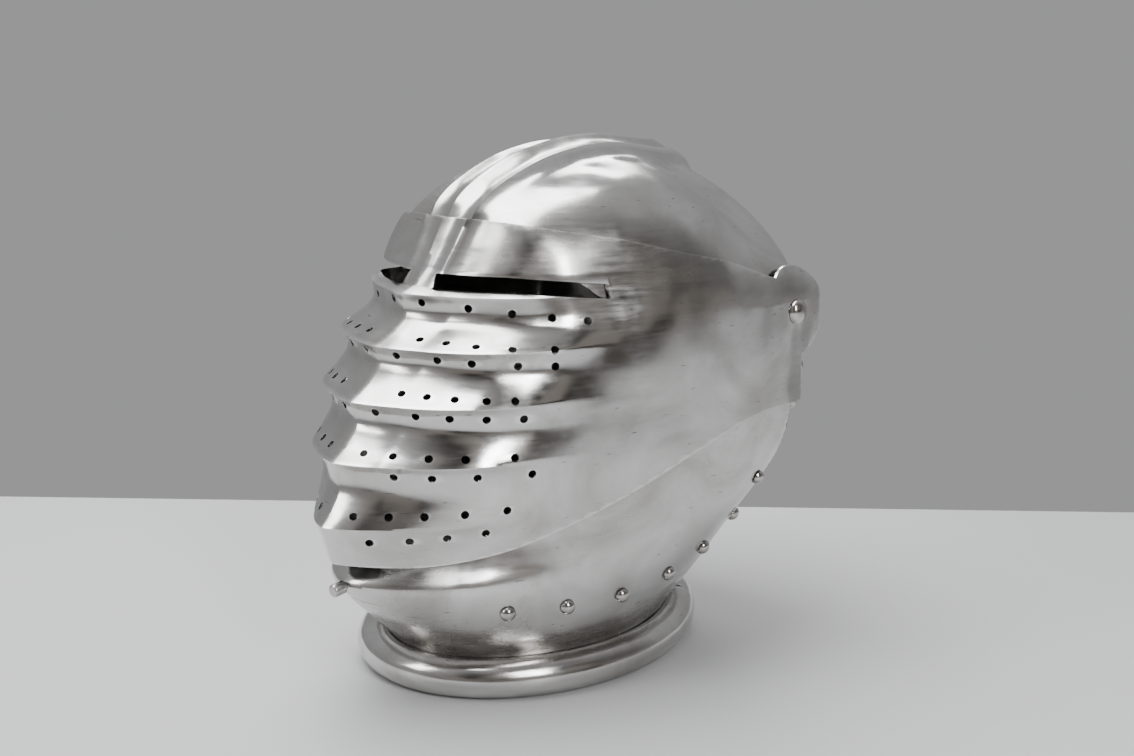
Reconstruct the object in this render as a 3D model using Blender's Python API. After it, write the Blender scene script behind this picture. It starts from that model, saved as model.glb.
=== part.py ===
"""Close helmet with a bellows visor, standing on its collar.

The helmet faces -Y, the wearer's left is +X and +Z is up. The origin lies under the middle of the
helmet, on the surface that the collar stands on. Lengths are in metres.
"""

import math

import bmesh
import bpy
from mathutils import Matrix, Vector
from mathutils.bvhtree import BVHTree

# Driving sizes of the whole helmet
PIVOT_HEIGHT = 0.195      # ear rivets above the foot of the plates' form
STAND_DROP = 0.0055       # the collar stands this far above the foot of the form
CROWN_RISE = 0.088        # top of the bowl above the ear rivets
EAR_FLAT = 0.006          # the sides stay upright this far above the ear rivets
BOWL_HALF_WIDTH = 0.1035  # middle plane to the outside of the skull at the ears
BROW_REACH = 0.1870       # ear rivets to the front of the bowl
BACK_REACH = 0.054        # ear rivets to the back of the bowl
MUZZLE_REACH = 0.255      # ear rivets to the foremost bellows ridge
CHIN_REACH = 0.241        # ear rivets to the point of the bevor
NECK_REACH = 0.196        # ear rivets to the front of the neck

# Sheet, gaps and rivets
SHEET = 0.0013            # thickness of the plates
PLATE_GAP = 0.0010        # running gap between two plates that slide over each other
FIT_GAP = 0.0003          # gap where one piece is seated on another
COLLAR_RADIUS = 0.0105    # outside radius of the rolled collar
COLLAR_SHEET = 0.0013
BREATH_RADIUS = 0.0022
RIVET_HEAD_RADIUS = 0.0043
RIVET_HEAD_HEIGHT = 0.0036
RIVET_SHANK_RADIUS = 0.0015
PIVOT_HEAD_RADIUS = 0.0072
PIVOT_HEAD_HEIGHT = 0.0046
PIVOT_SHANK_RADIUS = 0.0026
EAR_DISC_RADIUS = 0.0255
BEVOR_EYE_RADIUS = 0.0115  # round end of the bevor's strap at the pivot
PEG_RADIUS = 0.0034
PEG_LENGTH = 0.0075
PEG_SHANK_RADIUS = 0.0017
PEG_LEVEL = 0.366         # the peg's seat, as a level of the tables below
PEG_DIP = 0.12            # the peg points down by this much for each unit forward
SHANK_CLEARANCE = 0.0003
CUTTER_MARGIN = 0.025     # how far cutters reach past what they cut

# Sights
SIGHT_LEVEL = 1.1282      # lower edge of the sights, as a level of the tables below
SIGHT_OPENING = 0.0076
SIGHT_INNER = 0.0095      # half of the bridge between the sights, at its top
SIGHT_SLANT = 0.0020      # the bridge widens by this much towards its foot
SIGHT_BEND = 0.168        # ear rivets to where the sights begin to fall
SIGHT_END = 0.128         # ear rivets to the rear end of the sights
SIGHT_DROP = 0.0045       # the rear end lies this much lower

# Comb on the bowl
COMB_HEIGHT = 0.0100
COMB_HALF_WIDTH = 0.0190
COMB_COVE = 0.0100        # width over which the comb sinks into the bowl
COMB_FRONT_TURN = math.radians(8)
COMB_REAR_TURN = math.radians(128)

# Bellows
KEEL_RISE = 0.0045        # how far the keel stands proud of the rounded front
KEEL_HALF_WIDTH = 0.024
BELLOWS_FADE_START = math.radians(31)
BELLOWS_FADE_END = math.radians(54)
BROW_STANDOFF = 0.0005    # the brow's extra gap over the bowl
CHEEK_STANDOFF = 0.0028   # how far the lower cheeks of the visor stand off the bevor

# Finishes: colour and roughness of bare steel
PLATE_FINISH = ((0.62, 0.61, 0.60), 0.22)
RIVET_FINISH = ((0.48, 0.47, 0.46), 0.18)

LAP = SHEET + PLATE_GAP
PIVOT_Y = (MUZZLE_REACH - BACK_REACH) / 2
HELMET_HALF_WIDTH = BOWL_HALF_WIDTH + 2 * LAP + CHEEK_STANDOFF
CUTTER_WIDTH = 2 * HELMET_HALF_WIDTH
CUTTER_FRONT = PIVOT_Y - 1.3 * MUZZLE_REACH
COLLAR_SEAT = COLLAR_RADIUS * math.cos(math.radians(60)) + 1.4 * FIT_GAP
BOWL_POWER = 2.1          # fullness of the plan over the brow
RISE_POWER = 2.5          # fullness of the bowl's rise over the brow
BACK_POWER = 1.85         # fullness of the plan behind the ears
REAR_RISE_POWER = 1.6     # fullness of the bowl's rise at and behind the ears
RIM_HEIGHT = PIVOT_HEIGHT + EAR_FLAT
RIM_RISE = CROWN_RISE - EAR_FLAT
FACE_RISE = CROWN_RISE * 2.216   # one level above the ear rivets

# Heights in the tables are levels: 0 at the foot of the form, 1 at the ear rivets, more towards the crown.
# Head form below the ears: level, station (share of NECK_REACH by which the
# widest place lies in front of the ear rivets), side (share of BOWL_HALF_WIDTH), back (share of
# BACK_REACH, measured behind the ear rivets)
HEAD_FORM = (
    # level, station, side, back
    (0.040, 0.526, 0.662, -0.190),
    (0.125, 0.526, 0.662, -0.190),
    (0.190, 0.490, 0.715, 0.030),
    (0.270, 0.430, 0.790, 0.250),
    (0.365, 0.350, 0.860, 0.500),
    (0.480, 0.220, 0.930, 0.760),
    (0.615, 0.090, 0.975, 0.920),
    (0.770, 0.000, 1.000, 0.990),
    (1.000, 0.000, 1.000, 1.000),
)

# Bowl's middle line under the comb: reach ahead of the ear rivets (share of BROW_REACH, behind them share of
# BACK_REACH), then the height there against the plain rounded form
CREST_LINE = (
    # reach, height
    (-1.00, 0.910),
    (-0.40, 0.910),
    (0.00, 0.927),
    (0.25, 1.018),
    (0.40, 1.048),
    (0.50, 1.055),
    (0.69, 1.065),
    (0.82, 1.055),
    (0.86, 0.970),
    (0.95, 0.735),
    (1.00, 0.700),
)

# Bevor's middle line and how pointed its sections are: level, reach (share of
# CHIN_REACH), power of the section
BEVOR_FRONT = (
    (0.040, 0.813, 2.0),
    (0.125, 0.813, 2.0),
    (0.190, 0.860, 2.0),
    (0.270, 0.930, 1.9),
    (0.330, 0.975, 1.8),
    (0.370, 1.000, 1.7),
    (0.415, 0.970, 1.7),
    (0.490, 0.943, 1.7),
    (0.600, 0.925, 1.8),
    (0.770, 0.900, 2.2),
    (1.000, 0.830, 2.5),
)

# Visor's middle line from the brow down: level, reach of the sharp middle line
# and reach of the smooth cheek behind it (shares of MUZZLE_REACH), power of the section
VISOR_FRONT = (
    # level, reach, smooth, power
    (1.133, 0.740, 0.722, 2.15),
    (1.118, 0.777, 0.730, 2.15),
    (1.090, 0.778, 0.745, 2.18),
    (1.051, 0.779, 0.768, 2.15),
    (1.022, 0.800, 0.784, 2.25),
    (0.990, 0.855, 0.800, 2.35),
    (0.956, 0.852, 0.820, 2.28),
    (0.923, 0.848, 0.838, 2.20),
    (0.889, 0.872, 0.854, 2.24),
    (0.856, 0.918, 0.868, 2.28),
    (0.823, 0.913, 0.884, 2.20),
    (0.790, 0.907, 0.898, 2.12),
    (0.748, 0.924, 0.914, 2.10),
    (0.708, 0.969, 0.928, 2.05),
    (0.664, 0.960, 0.942, 1.96),
    (0.621, 0.950, 0.952, 1.88),
    (0.583, 0.962, 0.960, 1.80),
    (0.544, 1.000, 0.966, 1.70),
    (0.500, 0.990, 0.962, 1.64),
    (0.446, 0.975, 0.955, 1.60),
    (0.400, 0.965, 0.950, 1.60),
)
BROW_ROWS = (1.345, 1.315, 1.285, 1.257, 1.229, 1.200, 1.1723)

# Levels and turns from the front (degrees) at which the plates are faceted
VISOR_ROWS = (1.133, 1.118, 1.051, 0.990, 0.956, 0.923, 0.856, 0.823, 0.790, 0.708, 0.664, 0.621, 0.544,
              0.500, 0.446, 0.400)
VISOR_TURNS = (0, 2, 5, 10, 18, 27, 36, 45, 55, 65, 75, 83, 90, 115)
NAPE_ROWS = (0.86, 0.72, 0.58, 0.46, 0.35, 0.27, 0.20, 0.165, 0.125, 0.052)
BEVOR_ROWS = (1.12, 1.07, 1.031, 0.88, 0.77, 0.66, 0.56, 0.48, 0.415, 0.366, 0.32, 0.26, 0.20, 0.125,
              0.052)
BEVOR_TURNS = (0, 7, 17, 28, 39, 51, 63, 74, 83, 90, 102, 114, 127, 140)
SWING_STEPS = 16          # facets of the bowl from front to back
BOWL_COLUMNS = 6          # facets from the comb to the ear
BREATH_SIDES = 5
RIVET_SIDES = 6
COLLAR_ANGLES = (-130, -112.5, -67.5, -25, 20, 70, 120)

# Outlines seen from the side: reach in front of the ear rivets (share of MUZZLE_REACH), level
VISOR_TOP = ((0.700, 1.306), (0.632, 1.303), (0.519, 1.272), (0.433, 1.249), (0.330, 1.211), (0.201, 1.170),
             (0.079, 1.112))
VISOR_FOOT = ((1.100, 0.440), (0.976, 0.436), (0.865, 0.431), (0.737, 0.456), (0.626, 0.504), (0.482, 0.578),
              (0.327, 0.661), (0.188, 0.715), (0.086, 0.738))
TAB_FRONT = 0.022         # cheek tab below the ear disc, its front and back seen from the ear rivet
TAB_BACK = 0.006
TAB_FOOT = 0.736          # level
BEVOR_TOP = ((1.100, 0.520), (0.890, 0.520), (0.700, 0.570), (0.500, 0.690), (0.300, 0.820), (0.160, 0.945),
             (0.085, 1.010))
BEVOR_BACK = ((-0.030, 0.890), (-0.005, 0.770), (0.008, 0.615), (0.030, 0.460), (0.066, 0.308),
              (0.104, 0.200), (0.106, 0.0))
FACE_OPENING = ((0.900, 1.215), (0.600, 1.210), (0.500, 1.170), (0.410, 1.130), (0.300, 1.060),
                (0.200, 0.985), (0.100, 0.900), (0.030, 0.810))
NAPE_FLARE = (0.13, 0.195)   # levels over which the nape draws in above its collar
NAPE_LAP = 0.0020         # how far the nape runs in under the bevor's rear edge

# Breath holes, one row each: level at the middle and at the end of the row, then
# how far each hole lies from the middle plane (shares of BOWL_HALF_WIDTH)
BREATH_ROWS = (
    (1.097, 1.054, (0.103, 0.334, 0.513, 0.647, 0.751)),
    (1.012, 0.992, (0.187, 0.328, 0.469, 0.610, 0.722)),
    (0.971, 0.947, (0.112, 0.318, 0.464, 0.620, 0.718)),
    (0.885, 0.870, (0.216, 0.343, 0.462, 0.576, 0.658)),
    (0.834, 0.820, (0.116, 0.310, 0.448, 0.571, 0.671)),
    (0.735, 0.724, (0.125, 0.262, 0.412, 0.538, 0.668)),
    (0.680, 0.674, (0.271, 0.420, 0.564, 0.700)),
    (0.575, 0.580, (0.124, 0.267, 0.396, 0.520, 0.628)),
    (0.504, 0.521, (0.190, 0.335, 0.454, 0.560)),
)

# Row of rivets round the neck on one side: turn from the front in degrees, level
BEVOR_RIVETS = ((45, 0.282), (60, 0.275), (75, 0.272), (88, 0.296), (102, 0.338), (112, 0.405), (101, 0.521))
NAPE_RIVETS = ((120, 0.545), (113, 0.640), (109, 0.715), (107, 0.770), (106, 0.825))


def mix(low, high, share):
    return low + (high - low) * share


def smooth_step(value, low, high):
    share = min(1.0, max(0.0, (value - low) / (high - low)))
    return share * share * (3 - 2 * share)


def level_height(level):
    """Height of a level: 0 at the foot of the form, 1 at the ear rivets, more towards the crown."""
    return level * PIVOT_HEIGHT if level < 1 else PIVOT_HEIGHT + (level - 1) * FACE_RISE


def level_at(height):
    """Level of a height, the other way round."""
    return height / PIVOT_HEIGHT if height < PIVOT_HEIGHT else 1 + (height - PIVOT_HEIGHT) / FACE_RISE


def look_up(table, key):
    """Values of a table at a key, running smoothly from row to row."""
    rows = sorted(table)
    if key <= rows[0][0]:
        return rows[0][1:]
    if key >= rows[-1][0]:
        return rows[-1][1:]
    index = max(i for i, row in enumerate(rows) if row[0] <= key)
    before = rows[max(index - 1, 0)]
    low = rows[index]
    high = rows[index + 1]
    after = rows[min(index + 2, len(rows) - 1)]
    share = (key - low[0]) / (high[0] - low[0])
    values = []
    for column in range(1, len(low)):
        slope_low = (high[column] - before[column]) / (high[0] - before[0]) * (high[0] - low[0])
        slope_high = (after[column] - low[column]) / (after[0] - low[0]) * (high[0] - low[0])
        square = share * share
        cube = square * share
        values.append((2 * cube - 3 * square + 1) * low[column] + (cube - 2 * square + share) * slope_low
                      + (3 * square - 2 * cube) * high[column] + (cube - square) * slope_high)
    return tuple(values)


def straight_look_up(table, key):
    """Values of a table at a key, with straight runs between the rows."""
    rows = sorted(table)
    if key <= rows[0][0]:
        return rows[0][1:]
    for low, high in zip(rows, rows[1:]):
        if key <= high[0]:
            share = (key - low[0]) / (high[0] - low[0])
            return tuple(mix(a, b, share) for a, b in zip(low[1:], high[1:]))
    return rows[-1][1:]


def shrink(share, power):
    """Half width left on a rounded form at a share of its height."""
    return max(0.0, 1 - min(1.0, abs(share)) ** power) ** (1 / power)


def comb_height(across, turn):
    """Height of the comb over the bowl: a middle ridge and two side ridges with flutes between them."""
    if turn <= COMB_FRONT_TURN or turn >= COMB_REAR_TURN:
        return 0.0
    along = (turn - COMB_FRONT_TURN) / (COMB_REAR_TURN - COMB_FRONT_TURN)
    leaf = comb_half_width(turn)
    rise = COMB_HEIGHT * min(1.0, 3.2 * along + 0.18) * min(1.0, 4.5 * (1 - along)) ** 0.8
    share = abs(across) / leaf
    if share <= 1:
        return rise * (mix(1.0, 0.72, share) - 0.38 * math.sin(math.pi * share))
    return rise * 0.72 * max(0.0, 1 - (abs(across) - leaf) / COMB_COVE) ** 2


def comb_half_width(turn):
    along = min(1.0, max(0.0, (turn - COMB_FRONT_TURN) / (COMB_REAR_TURN - COMB_FRONT_TURN)))
    return COMB_HALF_WIDTH * (0.32 + 0.68 * math.sin(math.pi * min(1.0, 0.14 + 0.86 * along)) ** 0.8)


def with_comb(point):
    """Moves a point of the bowl or brow outwards by the comb's height there."""
    centre = Vector((0, PIVOT_Y, PIVOT_HEIGHT))
    arm = point - centre
    if arm.z <= 0:
        return point
    turn = math.atan2(arm.z, -arm.y)
    arm_flat = Vector((0, arm.y, arm.z)).normalized()
    return point + arm_flat * comb_height(point.x, turn)


def crest_reach(y, offset):
    """How far a place lies ahead of the ear rivets, as a share of the bowl's reach to the front or back."""
    reach = BROW_REACH if y < PIVOT_Y else BACK_REACH
    return (PIVOT_Y - y) / (reach + offset)


def side_power(y):
    """Fullness of the bowl's rise: full over the brow, falling away at and behind the ears."""
    return mix(REAR_RISE_POWER, RISE_POWER, smooth_step(crest_reach(y, 0.0), 0.0, 0.60))


def crest_height(y, offset):
    """Height of the bowl's middle line above its rim."""
    ahead = crest_reach(y, offset)
    power = RISE_POWER if ahead > 0 else REAR_RISE_POWER
    return (RIM_RISE + offset) * shrink(ahead, power) * look_up(CREST_LINE, ahead)[0]


def crest_front(height, offset):
    """Where the middle line over the brow reaches a height."""
    low = PIVOT_Y - BROW_REACH - offset
    high = PIVOT_Y - 0.45 * BROW_REACH
    for _ in range(40):
        middle = (low + high) / 2
        if crest_height(middle, offset) < height - RIM_HEIGHT:
            low = middle
        else:
            high = middle
    return high


def rim_side(y, offset):
    """Half width of the bowl's rim at a place."""
    power = BOWL_POWER if y < PIVOT_Y else BACK_POWER
    return (BOWL_HALF_WIDTH + offset) * shrink(crest_reach(y, offset), power)


def bowl_point(across_share, swing, offset):
    """Point on the bowl: share of the half width from the middle, swing 0 at the front to pi at the back."""
    in_front = swing < math.pi / 2
    reach = (BROW_REACH if in_front else BACK_REACH) + offset
    power = BOWL_POWER if in_front else BACK_POWER
    ahead = math.cos(swing)
    ahead = math.copysign(abs(ahead) ** (2 / power), ahead)
    y = PIVOT_Y - reach * ahead * shrink(across_share, power)
    x = (BOWL_HALF_WIDTH + offset) * across_share
    side = max(1e-9, rim_side(y, offset))
    rise = crest_height(y, offset) * shrink(x / side, side_power(y))
    return Vector((x, y, RIM_HEIGHT + rise))


def bowl_side(y, height, offset):
    """Half width of the bowl at a place above its rim."""
    climb = max(0.0, height - RIM_HEIGHT) / max(1e-9, crest_height(y, offset))
    return rim_side(y, offset) * shrink(climb, side_power(y))


def narrowing(y, height, offset):
    """How much narrower the sides run at a place than the full form over the brow."""
    climb = max(0.0, height - RIM_HEIGHT) / (RIM_RISE + offset)
    return shrink(climb, side_power(y)) / shrink(climb, RISE_POWER)


def head_section(height, offset):
    """Station, half width and back reach of the head form at a height."""
    station, side, back = look_up(HEAD_FORM, level_at(height))
    station_y = PIVOT_Y - station * NECK_REACH
    left = shrink(max(0.0, height - RIM_HEIGHT) / (RIM_RISE + offset), RISE_POWER)
    half_width = (BOWL_HALF_WIDTH * side + offset) * left
    back_y = PIVOT_Y + BACK_REACH * back + offset
    return station_y, half_width, back_y


def section_point(height, turn, station_y, half_width, front_y, back_y, power, flat=0.0):
    """Point of a level section, turn 0 at the front and pi at the back, flat behind where a strap runs."""
    side = math.sin(turn)
    ahead = math.cos(turn)
    if ahead >= 0:
        forward = (station_y - front_y) * ahead ** (2 / power)
        return Vector((half_width * side ** (2 / power), station_y - forward, height))
    rounded = Vector((half_width * side ** (2 / BACK_POWER),
                      station_y + (back_y - station_y) * (-ahead) ** (2 / BACK_POWER), height))
    strap = Vector((half_width, station_y + (back_y - station_y) * (-ahead), height))
    return rounded.lerp(strap, flat)


def bevor_point(height, turn, offset=LAP):
    station_y, half_width, back_y = head_section(height, offset)
    reach, power = look_up(BEVOR_FRONT, level_at(height))
    front_y = PIVOT_Y - reach * CHIN_REACH + (LAP - offset)
    strap = smooth_step(level_at(height), 0.42, 0.80)
    point = section_point(height, turn, station_y, half_width, front_y, back_y, power, strap)
    point.x *= narrowing(point.y, height, offset)
    return point


def nape_point(height, turn, offset=0.0):
    share = level_at(height)
    flare = offset + LAP * (1 - smooth_step(share, *NAPE_FLARE))
    station_y, half_width, back_y = head_section(height, flare)
    front_y = PIVOT_Y - BROW_REACH - offset
    return section_point(height, turn, station_y, half_width, front_y, back_y, BOWL_POWER)


def visor_offset(height):
    """The visor hugs the bowl at the brow, clears the bevor at the ears and stands off it at the cheeks."""
    share = level_at(height)
    brow = smooth_step(share, 1.05, 1.25)
    cheek = 1 - smooth_step(share, 0.62, 0.82)
    return 2 * LAP - brow * (LAP - BROW_STANDOFF) + cheek * CHEEK_STANDOFF


def visor_point(height, turn, inward=0.0):
    share = level_at(height)
    offset = visor_offset(height) - inward
    station_y, half_width, back_y = head_section(height, offset)
    if share > BROW_ROWS[-1] - 1e-6:
        front_y = crest_front(height, offset)
        point = section_point(height, turn, station_y, half_width, front_y, back_y, BOWL_POWER, 1.0)
        if turn > 1e-6:
            point.x = bowl_side(min(point.y, PIVOT_Y), height, offset)
        return with_comb(point)
    reach, smooth, power = straight_look_up(VISOR_FRONT, share)
    fade = 1 - smooth_step(turn, BELLOWS_FADE_START, BELLOWS_FADE_END)
    front = mix(smooth, reach, fade) * MUZZLE_REACH
    front_y = PIVOT_Y - front + inward + KEEL_RISE
    point = section_point(height, turn, station_y, half_width, front_y, back_y, power, 1.0)
    point.y -= KEEL_RISE * max(0.0, 1 - point.x / KEEL_HALF_WIDTH)
    point.x *= narrowing(point.y, height, offset)
    return point


def clear_scene():
    for item in list(bpy.data.objects):
        bpy.data.objects.remove(item, do_unlink=True)


def steel(name, colour, roughness):
    material = bpy.data.materials.new(name)
    material.use_nodes = True
    shader = material.node_tree.nodes["Principled BSDF"]
    shader.inputs["Base Color"].default_value = (*colour, 1)
    shader.inputs["Metallic"].default_value = 1.0
    shader.inputs["Roughness"].default_value = roughness
    return material


def new_object(name, mesh, finish):
    item = bpy.data.objects.new(name, mesh)
    bpy.context.scene.collection.objects.link(item)
    if finish:
        mesh.materials.append(steel(name + "_steel", *finish))
    mesh.shade_smooth()
    mesh.set_sharp_from_angle(angle=math.radians(28))
    return item


def mesh_from(name, points, faces):
    mesh = bpy.data.meshes.new(name)
    mesh.from_pydata([tuple(p) for p in points], [], faces)
    work = bmesh.new()
    work.from_mesh(mesh)
    bmesh.ops.remove_doubles(work, verts=work.verts, dist=1e-6)
    bmesh.ops.recalc_face_normals(work, faces=work.faces)
    work.to_mesh(mesh)
    work.free()
    return mesh


def mirrored_row(half):
    """A row of points from the right side over the middle to the left, from its left half."""
    right = [Vector((-p.x, p.y, p.z)) for p in reversed(half[1:])]
    middle = Vector((0, half[0].y, half[0].z))
    return right + [middle] + half[1:]


def sheet_solid(name, outer_rows, inner_rows, finish):
    """A closed plate between two grids of points with the same rows and columns."""
    rows = len(outer_rows)
    columns = len(outer_rows[0])
    points = [p for row in outer_rows for p in row] + [p for row in inner_rows for p in row]
    inner_start = rows * columns
    faces = []
    for r in range(rows - 1):
        for c in range(columns - 1):
            a = r * columns + c
            quad = (a, a + 1, a + columns + 1, a + columns)
            faces.append(quad)
            faces.append(tuple(inner_start + i for i in reversed(quad)))
    border = [(0, c) for c in range(columns)] + [(r, columns - 1) for r in range(1, rows)]
    border += [(rows - 1, c) for c in range(columns - 2, -1, -1)] + [(r, 0) for r in range(rows - 2, 0, -1)]
    indices = [r * columns + c for r, c in border]
    for a, b in zip(indices, indices[1:] + indices[:1]):
        faces.append((b, a, inner_start + a, inner_start + b))
    return new_object(name, mesh_from(name, points, faces), finish)


def smooth_run(points, steps=5):
    """A smooth run through a few chosen points, as a list of points."""
    result = []
    for i in range(len(points) - 1):
        before = points[max(i - 1, 0)]
        start = points[i]
        end = points[i + 1]
        after = points[min(i + 2, len(points) - 1)]
        for k in range(steps):
            t = k / steps
            result.append(tuple(0.5 * (2 * start[a] + (end[a] - before[a]) * t
                                       + (2 * before[a] - 5 * start[a] + 4 * end[a] - after[a]) * t * t
                                       + (3 * start[a] - before[a] - 3 * end[a] + after[a]) * t ** 3)
                                for a in (0, 1)))
    result.append(points[-1])
    return result


def side_outline(table):
    return [(PIVOT_Y - reach * MUZZLE_REACH, level_height(level)) for reach, level in table]


def side_prism(name, outline, half_width):
    """A prism across the helmet, from an outline of y and z values."""
    count = len(outline)
    points = [Vector((side * half_width, y, z)) for side in (-1, 1) for y, z in outline]
    faces = [tuple(range(count)), tuple(range(2 * count - 1, count - 1, -1))]
    faces += [(i, (i + 1) % count, count + (i + 1) % count, count + i) for i in range(count)]
    item = new_object(name, mesh_from(name, points, faces), None)
    item.hide_render = True
    item.display_type = "WIRE"
    return item


def round_cutter(name, radius, length, sides, place, direction):
    """A round bar centred on a place, its axis along a direction."""
    work = bmesh.new()
    bmesh.ops.create_cone(work, cap_ends=True, segments=sides, radius1=radius, radius2=radius, depth=length)
    mesh = bpy.data.meshes.new(name)
    work.to_mesh(mesh)
    work.free()
    item = bpy.data.objects.new(name, mesh)
    bpy.context.scene.collection.objects.link(item)
    mesh.transform(Matrix.Translation(place) @ direction.to_track_quat("Z", "Y").to_matrix().to_4x4())
    item.hide_render = True
    item.display_type = "WIRE"
    return item


def joined(name, items):
    """One cutter from several that don't meet."""
    work = bmesh.new()
    for item in items:
        work.from_mesh(item.data)
        bpy.data.objects.remove(item, do_unlink=True)
    mesh = bpy.data.meshes.new(name)
    work.to_mesh(mesh)
    work.free()
    cutter = bpy.data.objects.new(name, mesh)
    bpy.context.scene.collection.objects.link(cutter)
    cutter.hide_render = True
    cutter.display_type = "WIRE"
    return cutter


def apply_boolean(item, cutter, operation):
    change = item.modifiers.new(operation.title(), "BOOLEAN")
    change.object = cutter
    change.operation = operation
    change.solver = "EXACT"
    bpy.context.view_layer.update()
    mesh = bpy.data.meshes.new_from_object(item.evaluated_get(bpy.context.evaluated_depsgraph_get()))
    old = item.data
    item.modifiers.clear()
    item.data = mesh
    bpy.data.meshes.remove(old)
    bpy.data.objects.remove(cutter, do_unlink=True)


def cast(item, start, direction):
    """Where a line first meets the outside of a plate, and the outward direction there."""
    tree = BVHTree.FromObject(item, bpy.context.evaluated_depsgraph_get())
    place, normal, _, _ = tree.ray_cast(start, direction)
    return place, normal


def arc(centre, radius, start, end, steps):
    return [(centre[0] + radius * math.cos(mix(start, end, i / steps)),
             centre[1] + radius * math.sin(mix(start, end, i / steps))) for i in range(steps + 1)]


def pivot_place(x=0.0):
    return Vector((x, PIVOT_Y, PIVOT_HEIGHT))


def pivot_holes(name):
    axis = Vector((1, 0, 0))
    width = 2 * (HELMET_HALF_WIDTH + CUTTER_MARGIN)
    return round_cutter(name, PIVOT_SHANK_RADIUS + SHANK_CLEARANCE, width, 12, pivot_place(), axis)


def skull_rows(offset):
    """Points of the bowl from front to back, and of the belt below it down to the collar."""
    bowl = []
    for step in range(SWING_STEPS + 1):
        swing = math.pi * step / SWING_STEPS
        crest = bowl_point(0.0, swing, offset) - pivot_place()
        leaf = comb_half_width(math.atan2(crest.z, -crest.y))
        spread = (0.0, leaf * 0.5, leaf, leaf + COMB_COVE)
        shares = [x / (BOWL_HALF_WIDTH + offset) for x in spread]
        steps = [math.sin(math.pi / 2 * k / BOWL_COLUMNS) for k in range(1, BOWL_COLUMNS)]
        shares += [mix(shares[-1], 0.996, step) for step in steps]
        shares += [0.996, 1.0]
        bowl.append(mirrored_row([with_comb(bowl_point(min(1.0, s), swing, offset)) for s in shares]))
    front = bowl[0]
    back = bowl[-1]
    loop = front + list(reversed(back))[1:-1]
    belt = [loop]
    for share in NAPE_ROWS:
        row = []
        for place in loop:
            across = min(1.0, abs(place.x) / (BOWL_HALF_WIDTH + offset))
            if place.y > PIVOT_Y:
                turn = math.pi - math.asin(across ** (BACK_POWER / 2))
            else:
                turn = math.asin(across ** (BOWL_POWER / 2))
            level = nape_point(level_height(share), turn, offset)
            level.x = math.copysign(level.x, place.x) if across > 1e-6 else 0.0
            row.append(level)
        belt.append(row)
    return bowl, belt


def build_skull(finish):
    """Bowl and nape in one sheet, open over the face and down to the collar."""
    points = []
    faces = []
    edges = []
    for offset, outside in ((0.0, True), (-SHEET, False)):
        bowl, belt = skull_rows(offset)
        for rows, closed in ((bowl, False), (belt, True)):
            start = len(points)
            columns = len(rows[0])
            for row in rows:
                points.extend(row)
            last = columns if closed else columns - 1
            for r in range(len(rows) - 1):
                for c in range(last):
                    a = start + r * columns + c
                    b = start + r * columns + (c + 1) % columns
                    faces.append((a, b, b + columns, a + columns))
        foot = len(points) - columns
        edges.append([foot + c for c in range(columns)])
    for c in range(columns):
        d = (c + 1) % columns
        faces.append((edges[0][c], edges[0][d], edges[1][d], edges[1][c]))
    skull = new_object("skull", mesh_from("skull", points, faces), finish)
    opening = side_outline(((1.3, FACE_OPENING[0][1]), *smooth_run(FACE_OPENING, 3)))
    lapped = [(y - NAPE_LAP, z) for y, z in side_outline(smooth_run(BEVOR_BACK[1:5], 2))]
    foot = [(side_outline(BEVOR_BACK[-1:])[0][0] + FIT_GAP, z) for z in (level_height(0.205), -CUTTER_MARGIN)]
    outline = opening + lapped + foot + [(CUTTER_FRONT, -CUTTER_MARGIN)]
    apply_boolean(skull, side_prism("face_cutter", outline, CUTTER_WIDTH), "DIFFERENCE")
    apply_boolean(skull, pivot_holes("skull_pivot_cutter"), "DIFFERENCE")
    return skull


def build_bevor(finish):
    """Chin and cheek plate with its straps up to the ear rivets."""
    turns = [math.radians(t) for t in BEVOR_TURNS]
    outer = []
    inner = []
    for share in BEVOR_ROWS:
        height = level_height(share)
        outer.append(mirrored_row([bevor_point(height, turn) for turn in turns]))
        inner.append(mirrored_row([bevor_point(height, turn, LAP - SHEET) for turn in turns]))
    bevor = sheet_solid("bevor", outer, inner, finish)
    top = side_outline(smooth_run(BEVOR_TOP, 3))
    eye = arc((PIVOT_Y, PIVOT_HEIGHT), BEVOR_EYE_RADIUS, math.radians(150), math.radians(-60), 12)
    back = side_outline(smooth_run(BEVOR_BACK, 3))
    foot = [(back[-1][0], -CUTTER_MARGIN), (CUTTER_FRONT, -CUTTER_MARGIN)]
    outline = [(CUTTER_FRONT, top[0][1])] + top + eye + back + foot
    apply_boolean(bevor, side_prism("bevor_outline", outline, CUTTER_WIDTH), "INTERSECT")
    apply_boolean(bevor, pivot_holes("bevor_pivot_cutter"), "DIFFERENCE")
    return bevor


def brow_turns(height, turns):
    """Turns for a row of the brow, so that its first columns follow the ridges of the comb."""
    crest = visor_point(height, 0.0)
    leaf = comb_half_width(math.atan2(crest.z - PIVOT_HEIGHT, PIVOT_Y - crest.y))
    half_width = head_section(height, LAP)[1]
    ridges = [math.asin((x / half_width) ** (BOWL_POWER / 2)) for x in (leaf * 0.5, leaf, leaf + COMB_COVE)]
    return [turns[0]] + ridges + turns[4:]


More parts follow.
